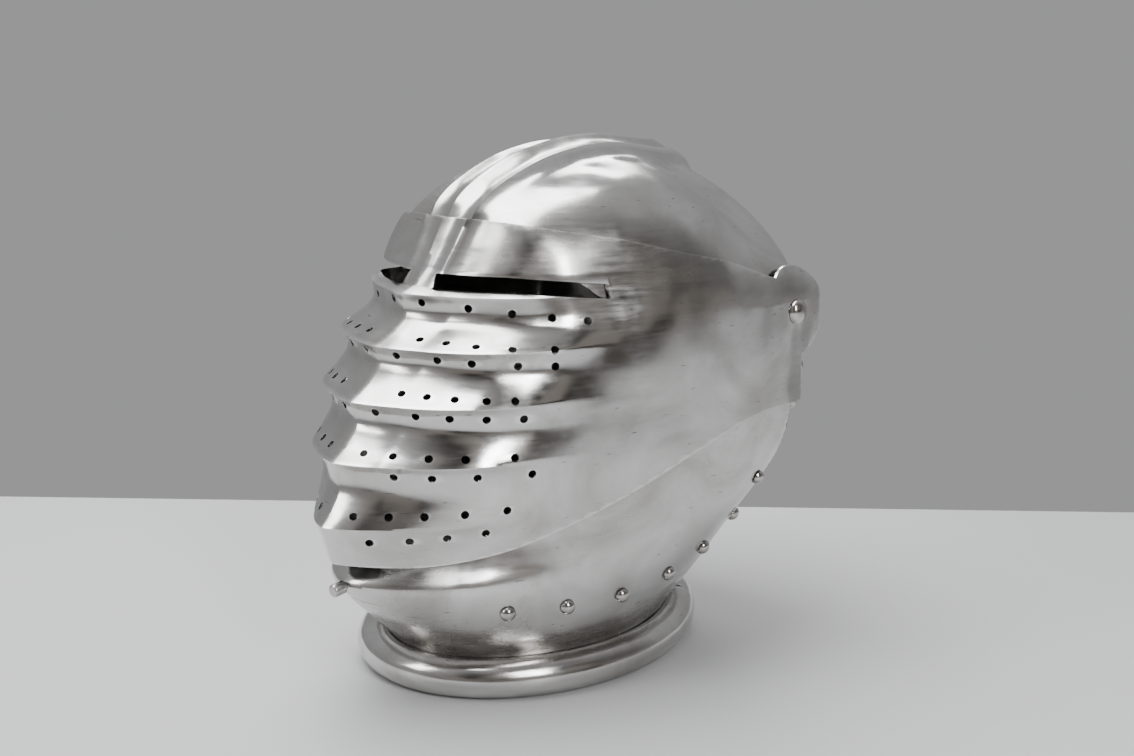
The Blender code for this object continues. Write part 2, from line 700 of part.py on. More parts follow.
def build_visor(finish):
    """Brow, sights, bellows, cheeks and ear discs in one sheet."""
    bellows_turns = [math.radians(t) for t in VISOR_TURNS]
    outer = []
    inner = []
    for share in BROW_ROWS + VISOR_ROWS:
        height = level_height(share)
        turns = brow_turns(height, bellows_turns) if share in BROW_ROWS else bellows_turns
        outer.append(mirrored_row([visor_point(height, turn) for turn in turns]))
        inner.append(mirrored_row([visor_point(height, turn, SHEET) for turn in turns]))
    visor = sheet_solid("visor", outer, inner, finish)
    top = side_outline(smooth_run(VISOR_TOP, 3))
    disc = arc((PIVOT_Y, PIVOT_HEIGHT), EAR_DISC_RADIUS, math.radians(127), math.asin(-0.972), 18)
    tab_foot = level_height(TAB_FOOT)
    tab = [(PIVOT_Y + TAB_BACK, tab_foot), (PIVOT_Y - TAB_FRONT, tab_foot)]
    foot = side_outline(list(reversed(smooth_run(VISOR_FOOT, 3))))
    outline = [(CUTTER_FRONT, top[0][1])] + top + disc + tab + foot[1:] + [(CUTTER_FRONT, foot[-1][1])]
    apply_boolean(visor, side_prism("visor_outline", outline, CUTTER_WIDTH), "INTERSECT")
    cutters = [sight_cutter(side) for side in (-1, 1)]
    cutters += breath_cutters(visor)
    cutters.append(pivot_holes("visor_pivot_cutter"))
    apply_boolean(visor, joined("visor_cutters", cutters), "DIFFERENCE")
    return visor


def sight_cutter(side):
    """A slot from the bridge round to the temple, its inner end slanted and its rear end a little lower."""
    outer_x = HELMET_HALF_WIDTH + CUTTER_MARGIN
    points = []
    for y, drop in ((CUTTER_FRONT, 0.0), (PIVOT_Y - SIGHT_BEND, 0.0), (PIVOT_Y - SIGHT_END, SIGHT_DROP)):
        floor = level_height(SIGHT_LEVEL) - drop
        top = floor + SIGHT_OPENING
        corners = ((SIGHT_INNER + SIGHT_SLANT, floor), (outer_x, floor), (outer_x, top), (SIGHT_INNER, top))
        for x, z in corners:
            points.append(Vector((side * x, y, z)))
    faces = [(0, 1, 2, 3), (11, 10, 9, 8)]
    for row in (0, 4):
        for k in range(4):
            m = (k + 1) % 4
            faces.append((row + k, row + 4 + k, row + 4 + m, row + m))
    return new_object("sight_cutter", mesh_from("sight_cutter", points, faces), None)


def breath_cutters(visor):
    """A short bar square to the plate for each breath hole, the same on both sides."""
    cutters = []
    for middle, end, places in BREATH_ROWS:
        for across in places:
            height = level_height(mix(middle, end, (across / places[-1]) ** 2))
            start = Vector((across * BOWL_HALF_WIDTH, CUTTER_FRONT, height))
            place, outward = cast(visor, start, Vector((0, 1, 0)))
            for side in (-1, 1):
                spot = Vector((side * place.x, place.y, place.z))
                away = Vector((side * outward.x, outward.y, outward.z))
                bar = round_cutter("breath_cutter", BREATH_RADIUS, 3.2 * SHEET, BREATH_SIDES, spot, away)
                cutters.append(bar)
    return cutters


def rolled_ring(name, loop, closed, finish):
    """A hollow roll standing on a flat, seated round the foot of a plate."""
    count = len(loop)
    centre_height = STAND_DROP + COLLAR_RADIUS * math.sin(math.radians(67.5))
    angles = [math.radians(a) for a in COLLAR_ANGLES]
    profile = [(COLLAR_RADIUS, a) for a in angles]
    profile += [(COLLAR_RADIUS - COLLAR_SHEET, a) for a in reversed(angles)]
    points = []
    for i, place in enumerate(loop):
        after = loop[(i + 1) % count] if closed else loop[min(i + 1, count - 1)]
        before = loop[i - 1] if closed else loop[max(i - 1, 0)]
        along = (after - before).normalized()
        outward = Vector((along.y, -along.x, 0))
        if outward.dot(Vector((place.x, place.y - (PIVOT_Y - NECK_REACH / 2), 0))) < 0:
            outward = -outward
        for radius, angle in profile:
            points.append(Vector((place.x, place.y, 0)) + outward * (COLLAR_SEAT + radius * math.cos(angle))
                          + Vector((0, 0, centre_height + radius * math.sin(angle))))
    size = len(profile)
    faces = []
    for i in range(count if closed else count - 1):
        j = (i + 1) % count
        for k in range(size):
            m = (k + 1) % size
            faces.append((i * size + k, j * size + k, j * size + m, i * size + m))
    if not closed:
        faces.append(tuple(range(size)))
        faces.append(tuple((count - 1) * size + k for k in reversed(range(size))))
    return new_object(name, mesh_from(name, points, faces), finish)


def build_collar(finish):
    """The roll round the neck: a front part on the bevor and a short rear part on the nape."""
    height = level_height(BEVOR_ROWS[-1])
    front_loop = mirrored_row([bevor_point(height, math.radians(turn)) for turn in BEVOR_TURNS])
    rear_loop = skull_rows(0.0)[1][-1]
    split = side_outline(BEVOR_BACK[-1:])[0][0]
    parts = (("collar_front", front_loop, False, CUTTER_FRONT, split),
             ("collar_rear", rear_loop, True, split + FIT_GAP, PIVOT_Y + MUZZLE_REACH))
    rings = []
    for name, loop, closed, low, high in parts:
        ring = rolled_ring(name, loop, closed, finish)
        outline = [(low, -0.1), (high, -0.1), (high, 0.1), (low, 0.1)]
        apply_boolean(ring, side_prism(name + "_outline", outline, CUTTER_WIDTH), "INTERSECT")
        rings.append(ring)
    return rings


def turned_solid(name, profile, sides, place, direction, finish):
    """A solid turned round a direction, from (radius, distance outwards) pairs with both ends on the axis."""
    points = [Vector((0, 0, profile[0][1]))]
    for radius, out in profile[1:-1]:
        for k in range(sides):
            angle = 2 * math.pi * k / sides
            points.append(Vector((radius * math.cos(angle), radius * math.sin(angle), out)))
    points.append(Vector((0, 0, profile[-1][1])))
    rings = len(profile) - 2
    faces = [(0, 1 + k, 1 + (k + 1) % sides) for k in range(sides)]
    for r in range(rings - 1):
        for k in range(sides):
            a = 1 + r * sides + k
            b = 1 + r * sides + (k + 1) % sides
            faces.append((a, a + sides, b + sides, b))
    last = 1 + (rings - 1) * sides
    faces += [(len(points) - 1, last + (k + 1) % sides, last + k) for k in range(sides)]
    mesh = mesh_from(name, points, faces)
    mesh.transform(direction.to_track_quat("Z", "Y").to_matrix().to_4x4())
    item = new_object(name, mesh, finish)
    item.location = place
    return item


def dome_profile(radius, height, shank, length, rings):
    """A domed head with its shank, the head's underside at distance 0."""
    profile = [(0.0, height)]
    for k in range(1, rings + 1):
        angle = math.pi / 2 * k / rings
        profile.append((radius * math.sin(angle), height * math.cos(angle)))
    profile += [(shank, 0.0), (shank, -length), (0.0, -length)]
    return profile


def rivet_seats(plate, table, point_at):
    """Places on a plate for the rivets of both sides, with the direction outwards."""
    seats = []
    for turn_degrees, share in table:
        height = level_height(share)
        turn = math.radians(turn_degrees)
        place = point_at(height, turn)
        ahead = point_at(height, turn + 0.02) - point_at(height, turn - 0.02)
        outward = Vector((ahead.y, -ahead.x, 0)).normalized()
        if outward.x < 0:
            outward = -outward
        spot, away = cast(plate, place + outward * 0.02, -outward)
        for side in (1, -1):
            seat = Vector((side * spot.x, spot.y, spot.z))
            seats.append((seat, Vector((side * away.x, away.y, away.z)), side))
    return seats


def rivet_row(plate, table, point_at, first, finish):
    """Domed rivets along a plate, each with its shank in a hole of the plate."""
    seats = rivet_seats(plate, table, point_at)
    cutters = [round_cutter("shank_cutter", RIVET_SHANK_RADIUS + SHANK_CLEARANCE, 6 * SHEET, 6, spot, away)
               for spot, away, _ in seats]
    apply_boolean(plate, joined("shank_cutters", cutters), "DIFFERENCE")
    profile = dome_profile(RIVET_HEAD_RADIUS, RIVET_HEAD_HEIGHT, RIVET_SHANK_RADIUS, SHEET + 2 * FIT_GAP, 2)
    rivets = []
    for i, (spot, away, side) in enumerate(seats):
        name = "neck_rivet_%s_%02d" % ("left" if side > 0 else "right", first + i // 2)
        rivets.append(turned_solid(name, profile, RIVET_SIDES, spot + away * FIT_GAP, away, finish))
    return rivets


def build_pivots(finish):
    """Domed ear rivets through visor, bevor and skull, each with its flat inner head."""
    ear_x = visor_point(PIVOT_HEIGHT, math.pi / 2).x
    through = 3 * SHEET + 2 * PLATE_GAP + 5 * FIT_GAP
    profile = dome_profile(PIVOT_HEAD_RADIUS, PIVOT_HEAD_HEIGHT, PIVOT_SHANK_RADIUS, through, 3)[:-1]
    profile += [(PIVOT_HEAD_RADIUS * 0.6, -through), (PIVOT_HEAD_RADIUS * 0.6, -through - 2 * SHEET),
                (0.0, -through - 2 * SHEET)]
    for name, side in (("pivot_rivet_left", 1), ("pivot_rivet_right", -1)):
        place = pivot_place(side * (ear_x + FIT_GAP))
        turned_solid(name, profile, 10, place, Vector((side, 0, 0)), finish)


def build_peg(bevor, finish):
    """The plain peg standing forward from the point of the chin."""
    start = Vector((0, CUTTER_FRONT, level_height(PEG_LEVEL)))
    spot, _ = cast(bevor, start, Vector((0, 1, 0)))
    profile = [(0.0, PEG_LENGTH), (PEG_RADIUS - FIT_GAP, PEG_LENGTH), (PEG_RADIUS, PEG_LENGTH - FIT_GAP),
               (PEG_RADIUS, FIT_GAP), (PEG_SHANK_RADIUS, FIT_GAP), (PEG_SHANK_RADIUS, -2 * SHEET),
               (0.0, -2 * SHEET)]
    direction = Vector((0, -1, -PEG_DIP)).normalized()
    hole = round_cutter("peg_cutter", PEG_SHANK_RADIUS + SHANK_CLEARANCE, 12 * SHEET, 10, spot, direction)
    apply_boolean(bevor, hole, "DIFFERENCE")
    return turned_solid("chin_peg", profile, 10, spot + direction * 3 * FIT_GAP, direction, finish)


def hang_on_ear_axis(items):
    """Gives moving pieces their origin on the line through the two ear rivets."""
    axis = pivot_place()
    for item in items:
        item.data.transform(Matrix.Translation(item.location - axis))
        item.location = axis


def main():
    clear_scene()
    skull = build_skull(PLATE_FINISH)
    bevor = build_bevor(PLATE_FINISH)
    visor = build_visor(PLATE_FINISH)
    collar_front = build_collar(PLATE_FINISH)[0]
    bevor_rivets = rivet_row(bevor, BEVOR_RIVETS, bevor_point, 1, RIVET_FINISH)
    rivet_row(skull, NAPE_RIVETS, nape_point, 1 + len(BEVOR_RIVETS), RIVET_FINISH)
    build_pivots(RIVET_FINISH)
    peg = build_peg(bevor, RIVET_FINISH)
    hang_on_ear_axis([visor, bevor, collar_front, peg] + bevor_rivets)
    for item in bpy.data.objects:
        item.location.z -= STAND_DROP


if __name__ == "__main__":
    main()
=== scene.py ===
# %% [markdown]
# # A close helmet with a bellows visor
# The real helmet is a handful of steel plates that lap over each other and turn on two rivets at the ears:
# the skull with its fluted comb, the visor with its bellows ridges, and the bevor that closes round the
# chin and neck. A hollow roll at the foot lets it stand on a table. Such plates could be sculpted or
# subdivided from a cage. Here they are worked out from short tables of heights and reaches, so that every
# plate follows the same form and one size can be changed without spoiling the others.
#
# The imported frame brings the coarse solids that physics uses. Each fine plate made below replaces its
# coarse one and rides on the same body.

# %% The frame and its box
import math

import bmesh
import bpy
from mathutils import Matrix, Vector
from mathutils.bvhtree import BVHTree


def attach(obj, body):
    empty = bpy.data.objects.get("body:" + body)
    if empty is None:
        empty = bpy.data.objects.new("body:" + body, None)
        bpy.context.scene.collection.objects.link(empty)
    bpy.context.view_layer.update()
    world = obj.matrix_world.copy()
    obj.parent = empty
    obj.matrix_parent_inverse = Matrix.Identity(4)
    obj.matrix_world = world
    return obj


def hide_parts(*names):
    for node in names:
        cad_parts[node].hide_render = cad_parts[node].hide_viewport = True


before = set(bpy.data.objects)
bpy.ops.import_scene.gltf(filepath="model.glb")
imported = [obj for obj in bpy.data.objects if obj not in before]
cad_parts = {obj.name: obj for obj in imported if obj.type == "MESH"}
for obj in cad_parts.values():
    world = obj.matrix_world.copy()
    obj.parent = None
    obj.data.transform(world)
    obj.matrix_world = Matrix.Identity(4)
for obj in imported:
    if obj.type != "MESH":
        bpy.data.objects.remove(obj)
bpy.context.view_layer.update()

# %% [markdown]
# ## Sizes
# An armourer starts from the wearer's head: the width over the ears, the reach from the ear rivets to the
# brow and to the back, and the height of the crown. The rest follows as shares of these. All lengths are in
# metres, the helmet faces -Y and the wearer's left is +X.

# %% Sizes of the head form, the sheet and the fittings
# Driving sizes of the whole helmet
PIVOT_HEIGHT = 0.195      # ear rivets above the foot of the plates' form
STAND_DROP = 0.0055       # the collar stands this far above the foot of the form
CROWN_RISE = 0.0874       # top of the bowl above the ear rivets
EAR_FLAT = 0.006          # the sides stay upright this far above the ear rivets
BOWL_HALF_WIDTH = 0.1035  # middle plane to the outside of the skull at the ears
BROW_REACH = 0.1870       # ear rivets to the front of the bowl
BACK_REACH = 0.054        # ear rivets to the back of the bowl
MUZZLE_REACH = 0.255      # ear rivets to the foremost bellows ridge
CHIN_REACH = 0.241        # ear rivets to the point of the bevor
NECK_REACH = 0.196        # ear rivets to the front of the neck

# Sheet, gaps and rivets
SHEET = 0.0013            # thickness of the plates
PLATE_GAP = 0.0010        # running gap between two plates that slide over each other
FIT_GAP = 0.0003          # gap where one piece is seated on another
COLLAR_RADIUS = 0.0105    # outside radius of the rolled collar
COLLAR_SHEET = 0.0013
BREATH_RADIUS = 0.0022
RIVET_HEAD_RADIUS = 0.0043
RIVET_HEAD_HEIGHT = 0.0036
RIVET_SHANK_RADIUS = 0.0015
PIVOT_HEAD_RADIUS = 0.0072
PIVOT_HEAD_HEIGHT = 0.0046
PIVOT_SHANK_RADIUS = 0.0026
EAR_DISC_RADIUS = 0.0255
BEVOR_EYE_RADIUS = 0.0115  # round end of the bevor's strap at the pivot
PEG_RADIUS = 0.0034
PEG_LENGTH = 0.0075
PEG_SHANK_RADIUS = 0.0017
PEG_LEVEL = 0.366         # the peg's seat, as a level of the tables below
PEG_DIP = 0.12            # the peg points down by this much for each unit forward
SHANK_CLEARANCE = 0.0003
CUTTER_MARGIN = 0.025     # how far cutters reach past what they cut

# Sights
SIGHT_LEVEL = 1.1282      # lower edge of the sights, as a level of the tables below
SIGHT_OPENING = 0.0076
SIGHT_INNER = 0.0095      # half of the bridge between the sights, at its top
SIGHT_SLANT = 0.0020      # the bridge widens by this much towards its foot
SIGHT_BEND = 0.168        # ear rivets to where the sights begin to fall
SIGHT_END = 0.128         # ear rivets to the rear end of the sights
SIGHT_DROP = 0.0045       # the rear end lies this much lower

# Comb on the bowl
COMB_HEIGHT = 0.0100
COMB_HALF_WIDTH = 0.0190
COMB_COVE = 0.0100        # width over which the comb sinks into the bowl
COMB_FRONT_TURN = math.radians(8)
COMB_REAR_TURN = math.radians(128)
COMB_TIP = 0.32           # half width left at the comb's ends, as a share
SIDE_RIDGE = 0.72         # height of the side ridges against the middle one
FLUTE_DEPTH = 0.38        # depth of the flutes against the comb's height

# Bellows
KEEL_RISE = 0.0045        # how far the keel stands proud of the rounded front
KEEL_HALF_WIDTH = 0.024
BELLOWS_FADE_START = math.radians(31)
BELLOWS_FADE_END = math.radians(54)
BROW_STANDOFF = 0.0005    # the brow's extra gap over the bowl
CHEEK_STANDOFF = 0.0028   # how far the lower cheeks of the visor stand off the bevor

LAP = SHEET + PLATE_GAP
PIVOT_Y = (MUZZLE_REACH - BACK_REACH) / 2
HELMET_HALF_WIDTH = BOWL_HALF_WIDTH + 2 * LAP + CHEEK_STANDOFF
CUTTER_WIDTH = 2 * HELMET_HALF_WIDTH
CUTTER_FRONT = PIVOT_Y - 1.3 * MUZZLE_REACH      # cutters start well in front of the muzzle
COLLAR_SEAT = COLLAR_RADIUS * math.cos(math.radians(60)) + 1.4 * FIT_GAP   # plate's foot to the roll's middle
BOWL_POWER = 2.1          # fullness of the plan over the brow
RISE_POWER = 2.5          # fullness of the bowl's rise over the brow
BACK_POWER = 1.85         # fullness of the plan behind the ears
REAR_RISE_POWER = 1.6     # fullness of the bowl's rise at and behind the ears
RIM_HEIGHT = PIVOT_HEIGHT + EAR_FLAT
RIM_RISE = CROWN_RISE - EAR_FLAT
FACE_RISE = CROWN_RISE * 2.216    # height of one level above the ear rivets
EDGE_ANGLE = math.radians(32)     # faces that meet more sharply than this keep a crisp edge
print("head form", 2 * BOWL_HALF_WIDTH, "m wide,", BROW_REACH + BACK_REACH, "m long")

# %% [markdown]
# ## The form in tables
# Every table has a level in its first column: 0 at the foot, 1 at the ear rivets and more towards the crown.
# The other columns are shares of the sizes above. Reading a form by levels is how a plate is checked with a
# template at the bench, and it keeps the numbers few.

# %% Tables of the form
# Head form below the ears: level, station (how far the widest place lies in front of the ear rivets, a share
# of NECK_REACH), side (share of BOWL_HALF_WIDTH), back (behind the ear rivets, share of BACK_REACH)
HEAD_FORM = (
    # level, station, side, back
    (0.040, 0.526, 0.662, -0.190),
    (0.125, 0.526, 0.662, -0.190),
    (0.190, 0.490, 0.715, 0.030),
    (0.270, 0.430, 0.790, 0.250),
    (0.365, 0.350, 0.860, 0.500),
    (0.480, 0.220, 0.930, 0.760),
    (0.615, 0.090, 0.975, 0.920),
    (0.770, 0.000, 1.000, 0.990),
    (1.000, 0.000, 1.000, 1.000),
)

# Bowl's middle line under the comb: reach ahead of the ear rivets (share of BROW_REACH, behind them of
# BACK_REACH), then the height there against the plain rounded form
CREST_LINE = (
    # reach, height
    (-1.00, 0.910),
    (-0.40, 0.910),
    (0.00, 0.927),
    (0.25, 1.018),
    (0.40, 1.048),
    (0.50, 1.055),
    (0.69, 1.065),
    (0.82, 1.055),
    (0.86, 0.970),
    (0.95, 0.735),
    (1.00, 0.700),
)

# Bevor's middle line: level, reach (share of CHIN_REACH), power of the section, which is more pointed below 2
BEVOR_FRONT = (
    (0.040, 0.813, 2.0),
    (0.125, 0.813, 2.0),
    (0.190, 0.860, 2.0),
    (0.270, 0.930, 1.9),
    (0.330, 0.975, 1.8),
    (0.370, 1.000, 1.7),
    (0.415, 0.970, 1.7),
    (0.490, 0.943, 1.7),
    (0.600, 0.925, 1.8),
    (0.770, 0.900, 2.2),
    (1.000, 0.830, 2.5),
)

# Visor's middle line from the sights down: level, reach of the ridged middle and reach of the smooth form
# that the cheeks follow (shares of MUZZLE_REACH), power of the section
VISOR_FRONT = (
    # level, reach, smooth, power
    (1.133, 0.742, 0.722, 2.15),
    (1.118, 0.777, 0.730, 2.15),
    (1.090, 0.769, 0.745, 2.18),
    (1.065, 0.769, 0.760, 2.18),
    (1.040, 0.782, 0.774, 2.20),
    (1.015, 0.812, 0.788, 2.27),
    (0.990, 0.855, 0.800, 2.35),
    (0.970, 0.844, 0.811, 2.30),
    (0.948, 0.842, 0.824, 2.26),
    (0.925, 0.852, 0.837, 2.22),
    (0.890, 0.880, 0.853, 2.25),
    (0.856, 0.918, 0.868, 2.28),
    (0.835, 0.905, 0.879, 2.22),
    (0.810, 0.902, 0.889, 2.17),
    (0.785, 0.908, 0.899, 2.13),
    (0.745, 0.934, 0.915, 2.10),
    (0.708, 0.969, 0.928, 2.05),
    (0.685, 0.955, 0.936, 2.00),
    (0.655, 0.950, 0.944, 1.95),
    (0.625, 0.955, 0.951, 1.90),
    (0.585, 0.974, 0.960, 1.82),
    (0.544, 1.000, 0.966, 1.70),
    (0.500, 0.988, 0.962, 1.64),
    (0.446, 0.975, 0.955, 1.60),
    (0.400, 0.965, 0.950, 1.60),
)
BROW_ROWS = (1.345, 1.315, 1.285, 1.257, 1.229, 1.200, 1.1723)
RIDGES = (1.118, 0.990, 0.856, 0.708, 0.544)

# Visor's cheeks, where the bellows have faded out: level, power of the section
CHEEK_POWER = ((0.400, 1.60), (0.544, 1.72), (0.708, 2.00), (0.856, 2.18), (1.000, 2.24), (1.133, 2.15))

# Levels of the rows of points, which are made finer for each plate
NAPE_ROWS = (0.86, 0.72, 0.58, 0.46, 0.35, 0.27, 0.20, 0.165, 0.125, 0.052)
BEVOR_ROWS = (1.12, 1.07, 1.031, 0.88, 0.77, 0.66, 0.56, 0.48, 0.415, 0.366, 0.32, 0.26, 0.20, 0.125, 0.052)

# Outlines seen from the side: reach in front of the ear rivets (share of MUZZLE_REACH), level
VISOR_TOP = ((0.700, 1.306), (0.632, 1.303), (0.519, 1.272), (0.433, 1.249), (0.330, 1.211), (0.201, 1.170),
             (0.079, 1.112))
VISOR_FOOT = ((1.100, 0.440), (0.976, 0.436), (0.865, 0.431), (0.737, 0.456), (0.626, 0.504), (0.482, 0.578),
              (0.327, 0.661), (0.188, 0.715), (0.086, 0.738))
TAB_FRONT = 0.022         # cheek tab below the ear disc, its front and back seen from the ear rivet
TAB_BACK = 0.006
TAB_FOOT = 0.736          # level
BEVOR_TOP = ((1.100, 0.520), (0.890, 0.520), (0.700, 0.570), (0.500, 0.690), (0.300, 0.820), (0.160, 0.945),
             (0.085, 1.010))
BEVOR_BACK = ((-0.030, 0.890), (-0.005, 0.770), (0.008, 0.615), (0.030, 0.460), (0.066, 0.308),
              (0.104, 0.200), (0.106, 0.0))
FACE_OPENING = ((0.900, 1.215), (0.640, 1.210), (0.590, 1.185), (0.540, 1.142), (0.500, 1.100),
                (0.400, 1.040), (0.200, 0.985), (0.100, 0.900), (0.030, 0.810))
NAPE_FLARE = (0.13, 0.195)   # levels over which the nape draws in above its collar
STRAP_LEVELS = (0.42, 0.80)  # over which the bevor's sides straighten into straps
BROW_LEVELS = (1.05, 1.25)   # over which the visor closes onto the bowl
CHEEK_LEVELS = (0.62, 0.82)  # over which the visor's cheeks come in to the bevor
NAPE_LAP = 0.0020         # how far the nape runs in under the bevor's rear edge

# Breath holes, one row each: level at the middle and at the end of the row, then how far each hole lies from
# the middle plane (shares of BOWL_HALF_WIDTH)
BREATH_ROWS = (
    (1.097, 1.054, (0.103, 0.334, 0.513, 0.647, 0.751)),
    (1.012, 0.992, (0.187, 0.328, 0.469, 0.610, 0.722)),
    (0.971, 0.947, (0.112, 0.318, 0.464, 0.620, 0.718)),
    (0.885, 0.870, (0.216, 0.343, 0.462, 0.576, 0.658)),
    (0.834, 0.820, (0.116, 0.310, 0.448, 0.571, 0.671)),
    (0.735, 0.724, (0.125, 0.262, 0.412, 0.538, 0.668)),
    (0.680, 0.674, (0.271, 0.420, 0.564, 0.700)),
    (0.575, 0.580, (0.124, 0.267, 0.396, 0.520, 0.628)),
    (0.504, 0.521, (0.190, 0.335, 0.454, 0.560)),
)

# Row of rivets round the neck on one side: turn from the front in degrees, level
BEVOR_RIVETS = ((45, 0.282), (60, 0.275), (75, 0.272), (88, 0.296), (102, 0.338), (112, 0.405), (101, 0.521))
NAPE_RIVETS = ((120, 0.545), (113, 0.640), (109, 0.715), (107, 0.770), (106, 0.825))
print(len(VISOR_FRONT), "rows for the visor,", len(BREATH_ROWS), "rows of breath holes a side")

# %% [markdown]
# ## Reading the tables
# Between two rows a smooth curve is wanted, or the plates would show flat facets. The bellows are different:
# each ridge is a crisp edge between two hollows. So their table is read piece by piece, from one ridge to
# the next, and the curve turns sharply only at the ridges.

# %% Levels, smooth runs and crisp ridges
def mix(low, high, share):
    return low + (high - low) * share


def smooth_step(value, low, high):
    share = min(1.0, max(0.0, (value - low) / (high - low)))
    return share * share * (3 - 2 * share)


def level_height(level):
    """Height of a level: 0 at the foot of the form, 1 at the ear rivets, more towards the crown."""
    return level * PIVOT_HEIGHT if level < 1 else PIVOT_HEIGHT + (level - 1) * FACE_RISE


def level_at(height):
    """Level of a height, the other way round."""
    return height / PIVOT_HEIGHT if height < PIVOT_HEIGHT else 1 + (height - PIVOT_HEIGHT) / FACE_RISE


def curve(share, low, high, slope_low, slope_high):
    """A smooth curve between two values with the given slopes at its ends."""
    square = share * share
    cube = square * share
    return ((2 * cube - 3 * square + 1) * low + (cube - 2 * square + share) * slope_low
            + (3 * square - 2 * cube) * high + (cube - square) * slope_high)


def look_up(table, key):
    """Values of a table at a key, running smoothly from row to row."""
    rows = sorted(table)
    if key <= rows[0][0]:
        return rows[0][1:]
    if key >= rows[-1][0]:
        return rows[-1][1:]
    index = max(i for i, row in enumerate(rows) if row[0] <= key)
    before = rows[max(index - 1, 0)]
    low = rows[index]
    high = rows[index + 1]
    after = rows[min(index + 2, len(rows) - 1)]
    share = (key - low[0]) / (high[0] - low[0])
    values = []
    for column in range(1, len(low)):
        slope_low = (high[column] - before[column]) / (high[0] - before[0]) * (high[0] - low[0])
        slope_high = (after[column] - low[column]) / (after[0] - low[0]) * (high[0] - low[0])
        values.append(curve(share, low[column], high[column], slope_low, slope_high))
    return tuple(values)


def ridged_look_up(table, level):
    """Values of the visor's table at a level, smooth in each hollow and sharp at the ridges."""
    rows = sorted(table)
    ends = [rows[0][0], *sorted(RIDGES), rows[-1][0]]
    for low, high in zip(ends, ends[1:]):
        if level <= high:
            return look_up([row for row in rows if low <= row[0] <= high], level)
    return rows[-1][1:]


def finer(levels, step):
    """The same levels with more between them, none further apart than the step."""
    result = []
    for low, high in zip(levels, levels[1:]):
        count = max(1, math.ceil(abs(high - low) / step))
        result += [mix(low, high, k / count) for k in range(count)]
    return result + [levels[-1]]


print("ridges at", [round(level_height(r), 4) for r in RIDGES])

# %% [markdown]
# ## The bowl and its comb
# The skull is raised from one sheet. Seen from above it is a long oval that is fuller in front than behind,
# so a superellipse with its own power for each half is used instead of a sphere. The comb runs over the top:
# a middle ridge and two side ridges with flutes between them. It is added along the direction away from the
# ear rivets, as a raised band would be hammered out.

# %% The bowl's form
def shrink(share, power):
    """Half width left on a rounded form at a share of its height."""
    return max(0.0, 1 - min(1.0, abs(share)) ** power) ** (1 / power)


def comb_half_width(turn):
    """Half width of the comb, a long leaf with narrow ends."""
    along = min(1.0, max(0.0, (turn - COMB_FRONT_TURN) / (COMB_REAR_TURN - COMB_FRONT_TURN)))
    return COMB_HALF_WIDTH * mix(COMB_TIP, 1.0, math.sin(math.pi * mix(0.14, 1.0, along)) ** 0.8)


def comb_height(across, turn):
    """Height of the comb over the bowl: a middle ridge and two side ridges with flutes between them."""
    if turn <= COMB_FRONT_TURN or turn >= COMB_REAR_TURN:
        return 0.0
    along = (turn - COMB_FRONT_TURN) / (COMB_REAR_TURN - COMB_FRONT_TURN)
    leaf = comb_half_width(turn)
    rise = COMB_HEIGHT * min(1.0, 3.2 * along + 0.18) * min(1.0, 4.5 * (1 - along)) ** 0.8
    share = abs(across) / leaf
    if share <= 1:
        return rise * (mix(1.0, SIDE_RIDGE, share) - FLUTE_DEPTH * math.sin(math.pi * share))
    return rise * SIDE_RIDGE * max(0.0, 1 - (abs(across) - leaf) / COMB_COVE) ** 2


def with_comb(point):
    """Moves a point of the bowl or brow outwards by the comb's height there."""
    centre = Vector((0, PIVOT_Y, PIVOT_HEIGHT))
    arm = point - centre
    if arm.z <= 0:
        return point
    turn = math.atan2(arm.z, -arm.y)
    arm_flat = Vector((0, arm.y, arm.z)).normalized()
    return point + arm_flat * comb_height(point.x, turn)


def crest_reach(y, offset):
    """How far a place lies ahead of the ear rivets, as a share of the bowl's reach to the front or back."""
    reach = BROW_REACH if y < PIVOT_Y else BACK_REACH
    return (PIVOT_Y - y) / (reach + offset)


def side_power(y):
    """Fullness of the bowl's rise: full over the brow, falling away at and behind the ears."""
    return mix(REAR_RISE_POWER, RISE_POWER, smooth_step(crest_reach(y, 0.0), 0.0, 0.60))


def crest_height(y, offset):
    """Height of the bowl's middle line above its rim."""
    ahead = crest_reach(y, offset)
    power = RISE_POWER if ahead > 0 else REAR_RISE_POWER
    return (RIM_RISE + offset) * shrink(ahead, power) * look_up(CREST_LINE, ahead)[0]


def crest_front(height, offset):
    """Where the middle line over the brow reaches a height."""
    low = PIVOT_Y - BROW_REACH - offset
    high = PIVOT_Y - 0.45 * BROW_REACH
    for _ in range(40):
        middle = (low + high) / 2
        if crest_height(middle, offset) < height - RIM_HEIGHT:
            low = middle
        else:
            high = middle
    return high


def rim_side(y, offset):
    """Half width of the bowl's rim at a place."""
    power = BOWL_POWER if y < PIVOT_Y else BACK_POWER
    return (BOWL_HALF_WIDTH + offset) * shrink(crest_reach(y, offset), power)


def bowl_point(across_share, swing, offset):
    """Point on the bowl: share of the half width from the middle, swing 0 at the front to pi at the back."""
    in_front = swing < math.pi / 2
    reach = (BROW_REACH if in_front else BACK_REACH) + offset
    power = BOWL_POWER if in_front else BACK_POWER
    ahead = math.cos(swing)
    ahead = math.copysign(abs(ahead) ** (2 / power), ahead)
    y = PIVOT_Y - reach * ahead * shrink(across_share, power)
    x = (BOWL_HALF_WIDTH + offset) * across_share
    side = max(1e-9, rim_side(y, offset))
    rise = crest_height(y, offset) * shrink(x / side, side_power(y))
    return Vector((x, y, RIM_HEIGHT + rise))


